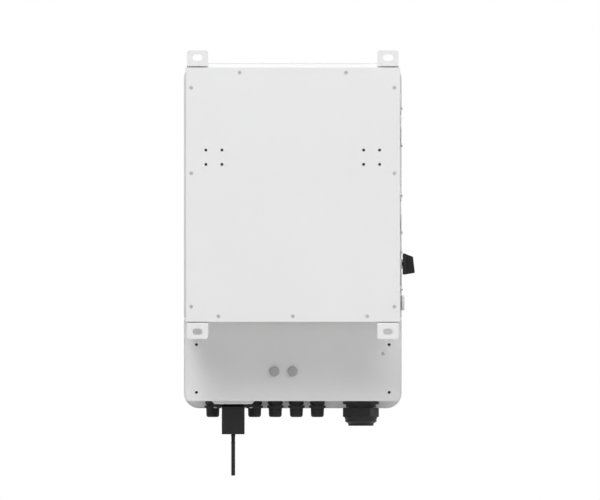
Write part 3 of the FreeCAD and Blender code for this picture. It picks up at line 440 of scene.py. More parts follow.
WHITE = (0.803, 0.805, 0.805)
materials = {
    "white_case": powder_coat("white_case", WHITE),
    "zinc_sheet": metal("zinc_sheet", (0.62, 0.63, 0.64), 0.4, (1, 0.1, 1)),
    "plated_screw": metal("plated_screw", (0.62, 0.62, 0.61), 0.3),
    "passivated_screw": moulded("passivated_screw", (0.60, 0.60, 0.595), 0.42, 0.05, 1.05, shine=0.6),
    "plated_wire": metal("plated_wire", (0.56, 0.56, 0.57), 0.28, (1, 1, 1), 800),
    "sink_aluminium": metal("sink_aluminium", (0.76, 0.77, 0.78), 0.42, (0.05, 1, 1), 900),
    "black_plastic": moulded("black_plastic", (0.029, 0.029, 0.030), 0.5, 0.05, shine=0.15),
    "gland_black": moulded("gland_black", (0.030, 0.030, 0.031), 0.42, 0.03, shine=0.22),
    "grey_plastic": moulded("grey_plastic", (0.46, 0.46, 0.46), 0.5, 0.04, 1.1),
    "light_plastic": moulded("light_plastic", (0.74, 0.74, 0.74), 0.45, 0.04, 1.05),
    "yellow_collar": moulded("yellow_collar", (0.17, 0.21, 0.02), 0.45, 0.04, 1.2),
    "key_grey": moulded("key_grey", (0.42, 0.43, 0.44), 0.42, 0.03, 1.2),
    "terminal_green": moulded("terminal_green", (0.05, 0.3, 0.12), 0.45, 0.04, 1.2),
    "panel_gloss": gloss("panel_gloss", (0.012, 0.013, 0.015)),
    "display_glass": gloss("display_glass", (0.05, 0.075, 0.07), 0.12),
    "lamp_green": gloss("lamp_green", (0.12, 0.42, 0.2), 0.1, Transmission_Weight=0.3),
    "circuit_board": circuit_board("circuit_board"),
    "can_sleeve": gloss("can_sleeve", (0.02, 0.03, 0.09), 0.25),
    "copper_winding": winding("copper_winding"),
    "ferrite_core": moulded("ferrite_core", (0.05, 0.05, 0.052), 0.6, 0.08),
    "seal_rubber": rubber("seal_rubber", (0.02, 0.02, 0.021)),
    "button_metal": metal("button_metal", (0.66, 0.66, 0.66), 0.25, (1, 1, 1), 700),
    "mark_white": moulded("mark_white", (0.75, 0.75, 0.73), 0.5, 0.02, 1.05),
    "display_ink": moulded("display_ink", (0.30, 0.38, 0.34), 0.4, 0.02, 1.05),
    "rivet_paint": powder_coat("rivet_paint", (0.795, 0.785, 0.785)),
}


def dress_cad_nodes():
    """Gives every CAD node the material of its slot."""
    slots = {part["node"]: part["material_slot"] for part in frame["record"]["subparts"]}
    for name, node in frame["nodes"].items():
        node.data.materials.clear()
        node.data.materials.append(materials[slots[name]])


def cross_recess(arm, half, depth, face):
    """Cutter for a cross recess that narrows towards its floor; sizes in millimetres."""
    quarter = [(arm, -half), (arm, half), (half, half)]
    outline = []
    for step in range(4):
        spin = Matrix.Rotation(math.radians(90 * step), 2)
        outline += [spin @ Vector(point) for point in quarter]
    bm = bmesh.new()
    rings = []
    for level, scale in ((face - depth, 0.55), (face + 0.3, 1.08)):
        spots = [Vector((point.x * scale, point.y * scale, level)) * MM for point in outline]
        rings.append([bm.verts.new(spot) for spot in spots])
    bm.faces.new(rings[0])
    bm.faces.new(rings[1])
    count = len(outline)
    for index in range(count):
        following = (index + 1) % count
        bm.faces.new([rings[0][index], rings[0][following], rings[1][following], rings[1][index]])
    return make_object("recess", bm)


def pan_head_master(head, rise, shank, length, pitch=0.8):
    """Pan-head screw at the origin, its head towards +Z: domed head, cross recess and thread runout.

    Head and shank are radii, and rise is the height of the head; millimetres."""
    profile = [(0, -length, 0), (shank * 0.8, -length, 0.2), (shank, -length + shank, 0)]
    for turn in range(int((length - 2 * shank) / pitch)):
        level = -length + shank + pitch * turn
        profile += [(shank, level + 0.1, 0), (shank * 0.86, level + 0.4, 0)]
    profile += [(shank * 0.9, 0, 0), (head, 0, 0.15), (head, rise * 0.35, rise * 0.4)]
    profile += [(head * 0.72, rise * 0.93, head * 0.8), (0, rise, 0)]
    bm = bmesh.new()
    add_turned(bm, rounded_path(profile, 4), Vector(), UP, 32)
    screw = make_object("screw", bm)
    carve(screw, cross_recess(head * 0.58, head * 0.14, rise * 0.6, rise))
    return screw


def fasten(name, node, master, seats, finish="plated_screw"):
    """Copies of a screw at (place in millimetres, outward direction) seats, each turned differently."""
    placements = []
    for index, (seat, outward) in enumerate(seats):
        spin = Matrix.Rotation(index * 2.4, 4, "Z")
        placements.append(Matrix.Translation(Vector(seat) * MM) @ facing(outward) @ spin)
    piece = copies(name, master, placements)
    stand_for(piece, CASE, node, materials[finish])
    return piece


def build_screws():
    """All the visible screws, at the places of their CAD nodes."""
    edge_column = 195.8
    upper_row = 235
    lower_row = -234.5
    back = [(side * edge_column, z) for side in (-1, 1) for z in (206, 41, -216)]
    back += [(side * 102.5, upper_row) for side in (-1, 1)]
    back += [(side * 143.5, lower_row) for side in (-1, 0, 1)]
    seats = [((x, COVER_FACE, z), WALL_SIDE) for x, z in back]
    fasten("back_screws", "duct_cover_screws", flush_master(9), seats, "passivated_screw")
    seats = []
    guard_face = -209
    for height in FAN_HEIGHTS:
        for across in (-1, 1):
            for up in (-1, 1):
                depth = FAN_DEPTH + across * FAN_PITCH / 2
                seats.append(((guard_face, depth, height + up * FAN_PITCH / 2), LEFT_SIDE))
    fasten("fan_fixings", "fan_screws", pan_head_master(4.0, 3.0, 1.9, 31), seats)
    corners = ((-200.7, -262), (200.7, -262), (-150, -402.4), (150, -402.4))
    seats = [((x, FRONT_FACE, z), FRONT_SIDE) for x, z in corners]
    fasten("wiring_fixings", "wiring_cover_screws", pan_head_master(5.0, 2.6, 2.4, 45), seats)
    x, y = LOGGER_AXIS
    seats = [((x + side * LOGGER_SCREW_REACH, y, LOGGER_SHELF), DOWN) for side in (-1, 1)]
    fasten("logger_fixings", "logger_screws", pan_head_master(3.4, 2.4, 1.6, 11), seats)
    build_side_screws()
    build_earth_screw()


def flush_master(length):
    """Countersunk screw at the origin with a flat top and a cross recess."""
    profile = [(0, -length, 0), (1.6, -length, 0.3), (1.6, -1.9, 0.2)]
    profile += [(3.7, -0.12, 0), (3.66, -0.02, 0.05), (0, 0, 0)]
    bm = bmesh.new()
    add_turned(bm, rounded_path(profile, 3), Vector(), UP, 32)
    master = make_object("screw", bm)
    carve(master, cross_recess(2.1, 0.5, 1.2, 0))
    return master


def build_side_screws():
    """Six countersunk screws, flush with the front cover's sides."""
    half_width = 210
    depth = -179
    seats = []
    for side in (-1, 1):
        seats += [((side * half_width, depth, z), Vector((side, 0, 0))) for z in (194, 0, -205)]
    fasten("side_fixings", "front_cover_screws", flush_master(8), seats, "passivated_screw")


def build_earth_screw():
    """Earthing screw with a toothed washer under its head."""
    place = Vector((-174.4, LOWER_PANEL, -306.7)) * MM
    bm = bmesh.new()
    screw = pan_head_master(3.0, 1.5, 1.9, 10)
    raised = Matrix.Translation(place + WALL_SIDE * 0.3 * MM)
    screw.data.transform(raised @ facing(WALL_SIDE) @ Matrix.Rotation(0.5, 4, "Z"))
    bm.from_mesh(screw.data)
    bpy.data.objects.remove(screw)

    def toothed(angle, radius, height):
        return radius - 0.25 * MM * (math.cos(18 * angle) > 0) if radius > 3 * MM else radius

    washer = rounded_path([(2.0, 0, 0), (3.4, 0, 0), (3.4, 0.35, 0.1), (2.0, 0.35, 0), (2.0, 0, 0)])
    add_turned(bm, washer, place, WALL_SIDE, 144, toothed)
    piece = make_object("earth_fixing", bm)
    stand_for(piece, CASE, "earth_screw", materials["plated_screw"])


def build_rivets():
    """Four flush rivets in the duct cover."""
    bm = bmesh.new()
    profile = [(0, -0.5, 0), (1.7, -0.5, 0), (1.7, 0.05, 0.04), (1.2, 0.05, 0), (0, 0.0, 0)]
    for x in (-153.7, 153.7):
        for z in (-60.4, -122.7):
            place = Vector((x, COVER_FACE, z)) * MM
            add_turned(bm, rounded_path(profile), place, WALL_SIDE, 32)
    piece = make_object("flush_rivets", bm)
    stand_for(piece, CASE, None, materials["rivet_paint"])


def build_vent_plugs():
    """Two round plugs with a stepped rim and a shallow dome."""
    profile = [
        (0, -8, 0), (7.7, -8, 0.5), (7.7, 0, 0), (9.75, 0, 0.2), (9.75, 3.4, 0.9), (8.7, 3.4, 0.15),
        (8.6, 5.0, 1.0), (7.2, 5.15, 0.3), (6.9, 4.9, 0.3), (0, 5.35, 0),
    ]
    bm = bmesh.new()
    for x in (35.3, 0.2):
        add_turned(bm, rounded_path(profile, 5), Vector((x, LOWER_PANEL, -340.8)) * MM, WALL_SIDE, 96)
    piece = make_object("vent_caps", bm)
    stand_for(piece, CASE, "vent_plugs", materials["grey_plastic"])


def build_guards():
    """Finger guards of welded wire: four rings on four bent arms that end in eyes."""
    bm = bmesh.new()
    wire = 0.85
    level = -206.8 - wire
    for height in FAN_HEIGHTS:
        centre = Vector((level, FAN_DEPTH, height))
        for radius in (10.2, 20.2, 30.2, 39.2):
            steps = 24 + int(radius) * 2
            points = []
            for step in range(steps):
                angle = 2 * math.pi * step / steps
                offset = Vector((-0.35, radius * math.cos(angle), radius * math.sin(angle)))
                points.append((centre + offset) * MM)
            add_wire(bm, points, wire * MM, closed=True)
        for arm in range(4):
            spin = Matrix.Rotation(math.radians(45 + 90 * arm), 3, "X")
            reach = FAN_PITCH / math.sqrt(2)
            path = [(0.2, 0, 9.4), (0.2, 0, 40.5), (0.1, 0, 43.0), (0.1, 0, reach - 3.2)]
            for step in range(17):
                angle = math.radians(-90 + 360 * step / 17)
                path.append((0.1, 3.25 * math.cos(angle), reach + 3.25 * math.sin(angle)))
            add_wire(bm, [(centre + spin @ Vector(point)) * MM for point in path], wire * MM)
    piece = make_object("wire_guards", bm)
    stand_for(piece, CASE, "fan_guards", materials["plated_wire"])


def hex_radius(angle, across):
    """Radius of a hexagon with slightly rounded corners, at an angle; millimetres."""
    folded = math.fmod(angle + 4 * math.pi, math.pi / 3) - math.pi / 6
    exact = across / 2 * math.cos(math.pi / 6) / math.cos(folded)
    return min(exact, across * 0.496)


def add_hexagon(bm, across, height, place, outward, inner):
    """Six-sided ring whose end faces are turned down at the corners, one flat towards the wall side."""
    apothem = across / 2 * math.cos(math.pi / 6)
    run = across / 2 - apothem
    fall = run * 0.25
    shares = [step / 6 for step in range(7)]
    slope = [(apothem - 0.2 + run * 1.1 * share, fall * share) for share in shares]
    profile = [(inner, 0)] + slope
    profile += [(radius, height - drop) for radius, drop in reversed(slope)]
    profile += [(inner, height), (inner, 0)]

    def shaped(angle, radius, level):
        limit = hex_radius(angle, across) * MM
        return min(radius, limit) if radius > (apothem - 1) * MM else radius

    add_turned(bm, [Vector(point) * MM for point in profile], place, outward, 144, shaped)


def build_small_glands():
    """Five small glands: shoulder and sleeve, dome nut with a collar, and seal."""
    body_bm = bmesh.new()
    nut_bm = bmesh.new()
    seal_bm = bmesh.new()
    sleeve = [
        (7.3, -11.7, 0), (9.8, -11.7, 0.4), (9.8, 5.6, 0), (13.0, 5.6, 0), (13.0, 8.2, 0.3), (9.5, 8.2, 0),
        (9.5, 22.3, 0.4), (8.3, 22.3, 0), (8.3, 15.6, 0), (7.3, 15.6, 0), (7.3, -11.7, 0),
    ]
    nut = [
        (9.8, 0, 0), (15.9, 0, 0.9), (15.9, 5.0, 1.1), (13.0, 5.2, 0.4), (12.3, 22.5, 4.4), (7.8, 22.5, 0.4),
        (7.3, 20.9, 0.5), (7.3, 16.0, 0), (9.8, 16.0, 0), (9.8, 0, 0),
    ]
    nut_path = densify(rounded_path(nut, 6), 1.3 * MM)
    seal = [(5.5, 15.8, 0), (8.1, 15.8, 0.3), (8.1, 23.8, 0.5), (5.5, 23.8, 0.7), (5.5, 15.8, 0)]

    def ribbed(angle, radius, level):
        if radius < 11.0 * MM or level < 5.6 * MM:
            return radius
        share = max(0.0, math.cos(12 * angle)) ** 3
        fade = min(1.0, (level - 5.6 * MM) / (1.6 * MM), max(0.0, (21.5 * MM - level) / (4.0 * MM)))
        return radius - 0.6 * MM * share * max(0.0, fade)

    for x in SMALL_GLANDS:
        top = Vector((x, SMALL_GLAND_DEPTH, GLAND_PLATE)) * MM
        add_hexagon(body_bm, 29.0, 5.8, top, DOWN, 7.3)
        add_turned(body_bm, rounded_path(sleeve, 3), top, DOWN, 64)
        add_turned(nut_bm, nut_path, top + DOWN * 8.5 * MM, DOWN, 144, ribbed)
        add_turned(seal_bm, rounded_path(seal, 3), top, DOWN, 48)
    bodies = make_object("gland_bodies", body_bm, 28)
    nuts = make_object("gland_nuts", nut_bm, 28)
    seals = make_object("gland_seals", seal_bm, 28)
    stand_for(bodies, CASE, "small_gland_bodies", materials["gland_black"])
    stand_for(nuts, CASE, "small_gland_nuts", materials["gland_black"])
    stand_for(seals, CASE, "small_gland_seals", materials["seal_rubber"])


def densify(path, step):
    """The path with extra points, so that no stretch is longer than a step."""
    result = [path[0]]
    for start, end in zip(path, path[1:]):
        count = max(1, math.ceil((end - start).length / step))
        result += [start.lerp(end, index / count) for index in range(1, count + 1)]
    return result


def build_large_gland():
    """Large gland: six-sided shoulder, neck, and six-sided nut with a stepped dome."""
    top = Vector((*LARGE_GLAND, GLAND_PLATE)) * MM
    bm = bmesh.new()
    add_hexagon(bm, 70.3, 6.6, top, DOWN, 19.0)
    sleeve = [
        (19, -14.7, 0), (26, -14.7, 0.8), (26, 6.0, 0), (29, 6.0, 0), (29, 12.4, 0.4), (24, 12.4, 0),
        (24, 30.3, 0.5), (21, 30.3, 0), (21, 13.6, 0), (19, 13.6, 0), (19, -14.7, 0),
    ]
    add_turned(bm, rounded_path(sleeve, 3), top, DOWN, 96)
    body = make_object("large_body", bm, 28)
    stand_for(body, CASE, "large_gland_body", materials["gland_black"])
    bm = bmesh.new()
    add_hexagon(bm, 70.0, 18.6, top + DOWN * 12.7 * MM, DOWN, 24.4)
    dome = [
        (24.4, 30.0, 0), (32.0, 30.0, 0), (32.0, 31.0, 0.4), (30.4, 34.8, 1.2), (30.4, 39.6, 1.4),
        (25.4, 42.6, 1.0), (24.5, 44.4, 0.6), (24.3, 47.8, 1.2), (19.5, 47.8, 0.9), (19.5, 33.3, 0),
        (24.4, 33.3, 0), (24.4, 30.0, 0),
    ]
    add_turned(bm, rounded_path(dome, 5), top, DOWN, 144)
    nut = make_object("large_nut", bm, 28)
    stand_for(nut, CASE, "large_gland_nut", materials["gland_black"])


def build_logger():
    """Logger case in two halves with a parting groove, lamps, screw flange, collar and plug."""
    bm = bmesh.new()
    centre = Vector((*LOGGER_AXIS, 0)) * MM
    turn = facing(FRONT_SIDE)
    height = 57.3
    middle = (0, -433.15)
    path = rectangle(44.0, height, 1.4, middle, 6)
    inset = rectangle(43.2, height - 0.8, 1.1, middle, 6)
    add_prism(bm, path, -12 * MM, 0.35 * MM, centre, turn, 0.7 * MM, 4)
    add_prism(bm, inset, 0.2 * MM, 1.2 * MM, centre, turn)
    add_prism(bm, path, 1.05 * MM, 12 * MM, centre, turn, 0.7 * MM, 4)
    for side in (-1, 1):
        for index in range(9):
            rib = rectangle(0.9, 1.1, 0.3, (side * 21.75, -424 - index * 2.6), 2)
            add_prism(bm, rib, -8 * MM, 8 * MM, centre, turn, 0.3 * MM, 2)
    flat = rectangle(79, 24, 4.0, (0, 0), 6)
    shelf = Vector((*LOGGER_AXIS, LOGGER_SHELF)) * MM
    add_prism(bm, flat, 0, 5 * MM, shelf, facing(UP), 0.7 * MM, 3)
    for side in (-1, 1):
        boss = [(1.9, -0.6, 0), (4.6, -0.6, 0.4), (5.4, 0.3, 0), (1.9, 0.3, 0), (1.9, -0.6, 0)]
        place = shelf + Vector((side * LOGGER_SCREW_REACH, 0, 0)) * MM
        add_turned(bm, rounded_path(boss), place, UP, 48)
    collar = rectangle(38, 22, 3.0, (0, 0), 5)
    add_prism(bm, collar, 4.5 * MM, 5.5 * MM, shelf, facing(UP), 0.2 * MM)
    plug = rectangle(12, 4.6, 0.5, (0, 0), 3)
    add_prism(bm, plug, 7 * MM, 20.3 * MM, shelf, facing(UP), 0.4 * MM)
    piece = make_object("logger_shell", bm, 30)
    stand_for(piece, CASE, "logger_case", materials["black_plastic"])
    bm = bmesh.new()
    for index in range(3):
        lens = rounded_path([(0, -1, 0), (1.3, -1, 0), (1.3, 0.0, 0.2), (0, -0.02, 0)])
        place = Vector((LOGGER_AXIS[0] + 8 * (index - 1), LOGGER_AXIS[1] - 11.98, -420)) * MM
        add_turned(bm, lens, place, FRONT_SIDE, 32)
    lamps = make_object("logger_lamps", bm)
    stand_for(lamps, CASE, None, materials["lamp_green"])


def build_antenna():
    """Antenna: swivel barrel with two cheeks around the pin, and the tapered rod with its tongue."""
    pivot = -470.0
    axis = Vector((*LOGGER_AXIS, 0)) * MM
    profile = [
        (0, pivot - 4.2, 0), (4.18, pivot - 4.2, 1.8), (4.18, pivot + 5.2, 0.2), (3.85, pivot + 5.5, 0.2),
        (4.18, pivot + 5.8, 0.2), (4.18, -462.0, 0.5), (2.95, -462.0, 0), (2.95, -457.5, 0.4), (0, -457.5, 0),
    ]

    def knurled(angle, radius, level):
        if radius < 4.1 * MM or level < (pivot + 5.7) * MM:
            return radius
        return radius - 0.14 * MM * (math.cos(24 * angle) > 0)

    bm = bmesh.new()
    add_turned(bm, rounded_path(profile, 5), axis, UP, 144, knurled)
    barrel = make_object("antenna_barrel", bm)
    cutter = bmesh.new()
    slot = [(-1.9, pivot - 6, 0), (1.9, pivot - 6, 0), (1.9, pivot + 4.6, 1.1), (-1.9, pivot + 4.6, 1.1)]
    add_prism(cutter, rounded_path(slot, 5, True), -8 * MM, 8 * MM, axis, facing(LEFT_SIDE))
    carve(barrel, make_object("cutter", cutter))
    bm = bmesh.new()
    bm.from_mesh(barrel.data)
    bpy.data.objects.remove(barrel)
    pin = rounded_path([(0, -3.9, 0), (1.1, -3.9, 0.2), (1.1, 3.9, 0.2), (0, 3.9, 0)])
    add_turned(bm, pin, axis + UP * pivot * MM, WALL_SIDE, 32)
    fork = make_object("antenna_swivel_base", bm)
    stand_for(fork, "antenna_fork", "antenna_fork", materials["black_plastic"])
    bm = bmesh.new()
    tip = -541.4
    stem = [
        (0, tip, 0), (3.78, tip, 1.2), (3.78, pivot - 9.6, 1.5), (4.16, pivot - 7.2, 0.8),
        (4.16, pivot - 5.6, 0.4), (0, pivot - 5.6, 0),
    ]
    add_turned(bm, densify(rounded_path(stem, 5), 4 * MM), axis, UP, 64)
    for level in (-0.3, -1.5, -2.7):
        ring = [(3.6, level, 0), (3.98, level - 0.3, 0.1), (3.6, level - 0.6, 0), (3.6, level, 0)]
        add_turned(bm, rounded_path(ring), axis + UP * (pivot - 11) * MM, UP, 48)
    root = pivot - 6.2
    eye = pivot + 3.5
    tongue = [(-3.5, root, 0), (3.5, root, 0), (3.5, eye, 3.48), (-3.5, eye, 3.48)]
    add_prism(bm, rounded_path(tongue, 8, True), -1.56 * MM, 1.56 * MM, axis, facing(WALL_SIDE), 0.3 * MM)
    rod = make_object("antenna_stem", bm)
    stand_for(rod, "antenna_rod", "antenna_rod", materials["black_plastic"])


def build_isolator():
    """Isolator: seat plate with its marks, coloured collar, and the knob with a tapered grip."""
    seat = Vector((SIDE_WALL, CONTROLS_DEPTH, ISOLATOR_HEIGHT)) * MM
    bm = bmesh.new()
    plate = [(9.6, 0, 0), (19, 0, 0), (19, 0.7, 0.3), (10.2, 0.7, 0.2), (9.6, 0.4, 0.1), (9.6, 0, 0)]
    add_turned(bm, rounded_path(plate, 4), seat, LEFT_SIDE, 96)
    plate = make_object("isolator_seat", bm)
    stand_for(plate, CASE, "isolator_plate", materials["light_plastic"])
    bm = bmesh.new()
    collar = [(4.05, 0, 0), (9.3, 0, 0), (9.3, 3.6, 0.6), (4.05, 3.6, 0), (4.05, 0, 0)]

    def notched(angle, radius, level):
        return radius - 0.4 * MM * (math.cos(8 * angle) > 0.75) if radius > 8.5 * MM else radius

    add_turned(bm, rounded_path(collar, 4), seat, LEFT_SIDE, 128, notched)
    collar = make_object("isolator_ring", bm)
    stand_for(collar, CASE, "isolator_collar", materials["yellow_collar"])
    build_knob(seat + LEFT_SIDE * 3.9 * MM)
    build_isolator_marks(seat)


def build_knob(foot):
    """Isolator knob: fluted disc, tapered grip and shaft; foot is the middle of the disc's inner face."""
    bm = bmesh.new()
    disc = [
        (0, 0, 0), (19.7, 0, 0.4), (20.35, 0.7, 0.4), (20.35, 5.4, 1.2), (18.4, 6.9, 0.8), (14, 7.0, 1.5),
        (12.5, 6.4, 0.8), (0, 6.4, 0),
    ]

    def fluted(angle, radius, level):
        return radius - 0.35 * MM * (0.5 + 0.5 * math.cos(30 * angle)) if radius > 19.5 * MM else radius

    add_turned(bm, rounded_path(disc, 4), foot, LEFT_SIDE, 180, fluted)
    grip = [
        (-2.0, -19.4, 0.4), (-4.2, -20.4, 1.2), (-23.7, -17.2, 2.4), (-20.1, 14.1, 2.6), (-1.6, 21.0, 1.2),
        (-1.0, 0, 0),
    ]
    shape = rounded_path(grip, 6, True)
    add_prism(bm, shape, -8 * MM, 8 * MM, foot, facing(FRONT_SIDE), 2.0 * MM, 5)
    shaft = rounded_path([(0, -16.5, 0), (4, -16.5, 0.4), (4, 1, 0), (0, 1, 0)])
    add_turned(bm, shaft, foot, LEFT_SIDE, 48)
    knob = make_object("isolator_handle", bm, 30)
    stand_for(knob, "isolator_knob", "isolator_knob", materials["black_plastic"])
    build_knob_pointer(foot)


def build_knob_pointer(foot):
    """Printed pointer on the sloping face of the knob's grip."""
    start = foot + Vector((-20.4, 0, 11.5)) * MM
    end = foot + Vector((-21.55, 0, 1.0)) * MM
    slope = (end - start).normalized()
    outward = slope.cross(WALL_SIDE).normalized()
    if outward.x > 0:
        outward.negate()
    basis = Matrix((outward.cross(slope), slope, outward)).transposed().to_4x4()
    length = (end - start).length / MM
    bm = bmesh.new()
    add_prism(bm, rectangle(1.6, length, 0.7, (0, length / 2), 4), -0.3 * MM, 0.04 * MM, start, basis)
    mark = make_object("knob_pointer", bm)
    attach(mark, "isolator_knob")
    mark.data.materials.append(materials["mark_white"])


def build_isolator_marks(seat):
    """Printed marks on the plate: O, I and the ticks between them."""
    bm = bmesh.new()
    turn = facing(LEFT_SIDE)
    base = 0.5 * MM
    top = 0.73 * MM
    for index in range(13):
        spin = Matrix.Rotation(math.radians(-7.5 * index), 4, "Z")
        at_end = index % 12 == 0
        tick = rectangle(0.6, 2.4 if at_end else 1.2, 0.2, (0, 14.4 if at_end else 13.9), 2)
        add_prism(bm, tick, base, top, seat, turn @ spin)
    bar = rectangle(0.7, 3.0, 0.2, (0, 17.0), 2)
    add_prism(bm, bar, base, top, seat, turn @ Matrix.Rotation(math.radians(-90), 4, "Z"))
    inner = 0.75 * MM
    outer = 1.35 * MM
    circle = [(inner, base), (outer, base), (outer, top), (inner, top), (inner, base)]
    add_turned(bm, [Vector(point) for point in circle], seat + UP * 17.0 * MM, LEFT_SIDE, 32)
    marks = make_object("isolator_marks", bm)
    stand_for(marks, CASE, None, materials["mark_white"])


def build_button():
    """Power button: rubber seal, threaded body with a chamfered bezel, and a dished cap with a ring mark."""
    seat = Vector((SIDE_WALL, CONTROLS_DEPTH, BUTTON_HEIGHT)) * MM
    bm = bmesh.new()
    seal = [(11.2, 0, 0), (14.6, 0, 0), (14.6, 2.0, 0.8), (11.2, 2.0, 0), (11.2, 0, 0)]
    add_turned(bm, rounded_path(seal, 4), seat, LEFT_SIDE, 64)
    stand_for(make_object("button_gasket", bm), CASE, "button_seal", materials["seal_rubber"])
    bm = bmesh.new()
    body = [
        (0, -32, 0), (10.9, -32, 0.5), (10.9, 2.0, 0), (14.4, 2.0, 0.2), (14.4, 6.4, 0.5), (13.5, 7.6, 0.5),
        (11.0, 7.6, 0.4), (10.3, 6.7, 0.2), (10.3, -12, 0), (0, -12, 0),
    ]
    add_turned(bm, rounded_path(body, 4), seat, LEFT_SIDE, 96)
    bezel = make_object("button_bezel", bm)
    stand_for(bezel, CASE, "button_body", materials["light_plastic"])
    bm = bmesh.new()
    cap = [(0, -4.5, 0), (9.9, -4.5, 0.2), (9.9, 7.0, 0.9), (8.2, 6.95, 0.4), (7.3, 6.2, 0.8), (0, 5.8, 0)]
    add_turned(bm, rounded_path(cap, 5), seat, LEFT_SIDE, 96)
    push = make_object("button_push", bm)
    stand_for(push, "button_cap", "button_cap", materials["button_metal"])
    bm = bmesh.new()
    turn = facing(LEFT_SIDE)
    points = []
    for step in range(41):
        angle = math.radians(125 + 290 * step / 40)
        points.append(seat + turn @ (Vector((3.0 * math.cos(angle), 3.0 * math.sin(angle), 5.92)) * MM))
    add_wire(bm, points, 0.32 * MM)
    add_wire(bm, [seat + turn @ Vector((0, level * MM, 5.95 * MM)) for level in (0.8, 3.8)], 0.32 * MM)
    mark = make_object("button_mark", bm)
    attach(mark, "button_cap")
    mark.data.materials.append(materials["black_plastic"])


def build_panel():
    """Glossy front panel with holes for keys and lamps, and an inset display pane."""
    turn = facing(FRONT_SIDE)
    origin = Vector((0, FRONT_FACE, PANEL_HEIGHT)) * MM
    bm = bmesh.new()
    add_prism(bm, rectangle(184, 88, 12, (0, 0), 8), 0, 2.2 * MM, origin, turn, 0.7 * MM, 3)
    panel = make_object("front_panel", bm)
    cutter = bmesh.new()
    add_prism(cutter, rectangle(86, 52, 3, (0, 0), 4), 1.5 * MM, 3 * MM, origin, turn)
    carve(panel, make_object("cutter", cutter))
    for x, radius in ((KEY_COLUMN, 6.4), (-KEY_COLUMN, 2.7)):
        cutter = bmesh.new()
        for height in KEY_ROWS:
            add_prism(cutter, circle_path(radius, (x, height - PANEL_HEIGHT)), -1 * MM, 3 * MM, origin, turn)
        carve(panel, make_object("cutter", cutter))
    stand_for(panel, CASE, "display_window", materials["panel_gloss"])
    bm = bmesh.new()
    add_prism(bm, rectangle(85.4, 51.4, 2.7, (0, 0), 4), 1.5 * MM, 1.9 * MM, origin, turn, 0.15 * MM, 2)
    pane = make_object("display_pane", bm)
    stand_for(pane, CASE, None, materials["display_glass"])
    build_graphics(origin, turn)
    build_keys()
    build_lamps()


def circle_path(radius, centre, steps=48):
    """Closed circle in metres from sizes in millimetres."""
    path = []
    for step in range(steps):
        angle = 2 * math.pi * step / steps
        path.append((Vector(centre) + Vector((math.cos(angle), math.sin(angle))) * radius) * MM)
    return path


def build_graphics(origin, turn):
    """Plain graphics on the pane: a column chart, text bars, a battery and a curve."""
    bars = []
    for column in range(12):
        height = 4 + 9 * math.sin(math.pi * (column + 0.5) / 12)
        bars.append(rectangle(2.0, height, 0.3, (-30 + 3.0 * column, -18 + height / 2), 2))
    for row in range(3):
        bars.append(rectangle(22 - 5 * row, 1.8, 0.8, (24 - 2.5 * row, 14 - 7 * row), 3))
    for cell in range(4):
        bars.append(rectangle(3.2, 8.0, 0.4, (14 + 4.6 * cell, -13), 2))
    bars += [rectangle(24, 0.8, 0.2, (21, v), 2) for v in (-7.5, -18.5)]
    bars += [rectangle(0.8, 11.8, 0.2, (u, -13), 2) for u in (9.4, 32.6)]
    bars.append(rectangle(1.6, 4, 0.2, (34.2, -13), 2))
    bm = bmesh.new()
    for bar in bars:
        add_prism(bm, bar, 1.88 * MM, 1.93 * MM, origin, turn)
    curve = [Vector((-34 + 1.5 * step, 12 + 5 * math.sin(step * 0.42), 1.9)) * MM for step in range(27)]
    add_wire(bm, [origin + turn @ point for point in curve], 0.35 * MM)
    inks = make_object("display_graphics", bm)
    stand_for(inks, CASE, None, materials["display_ink"])


def key_glyph(name):
    """Bars of a key's glyph as (u, v, length, angle in degrees): a cross, arrows, and a hooked arrow."""
    glyphs = {
        "escape": [(0, 0, 5.2, 45), (0, 0, 5.2, -45)],
        "up": [(-1.25, -0.2, 3.6, 45), (1.25, -0.2, 3.6, -45)],
        "down": [(-1.25, 0.2, 3.6, -45), (1.25, 0.2, 3.6, 45)],
        "enter": [(0.2, -0.9, 4.6, 0), (2.2, 0.5, 2.8, 90), (-1.5, -0.2, 2.0, 45), (-1.5, -1.6, 2.0, -45)],
    }
    return glyphs[name]


def build_keys():
    """Four round keys with dished faces and printed glyphs."""
    turn = facing(FRONT_SIDE)
    for name, height in zip(("escape", "up", "down", "enter"), KEY_ROWS):
        node = "key_" + name
        place = Vector((KEY_COLUMN, -220.3, height)) * MM
        profile = [
            (0, 0, 0), (2.5, 0, 0.3), (2.5, 7.5, 0), (8.0, 7.5, 0), (8.0, 9.0, 0.2), (5.98, 9.0, 0.2),
            (5.98, 16.7, 0.9), (4.9, 16.7, 0.5), (4.4, 16.45, 0.5), (0, 16.3, 0),
        ]
        bm = bmesh.new()
        add_turned(bm, rounded_path(profile, 5), place, FRONT_SIDE, 64)
        stand_for(make_object(node + "_cap", bm), node, node, materials["key_grey"])
        bm = bmesh.new()
        for u, v, length, angle in key_glyph(name):
            spin = Matrix.Translation(Vector((u, v, 0)) * MM) @ Matrix.Rotation(math.radians(angle), 4, "Z")
            add_prism(bm, rectangle(length, 0.75, 0.3, (0, 0), 3), 16.1 * MM, 16.42 * MM, place, turn @ spin)
        mark = make_object(node + "_glyph", bm)
        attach(mark, node)
        mark.data.materials.append(materials["mark_white"])


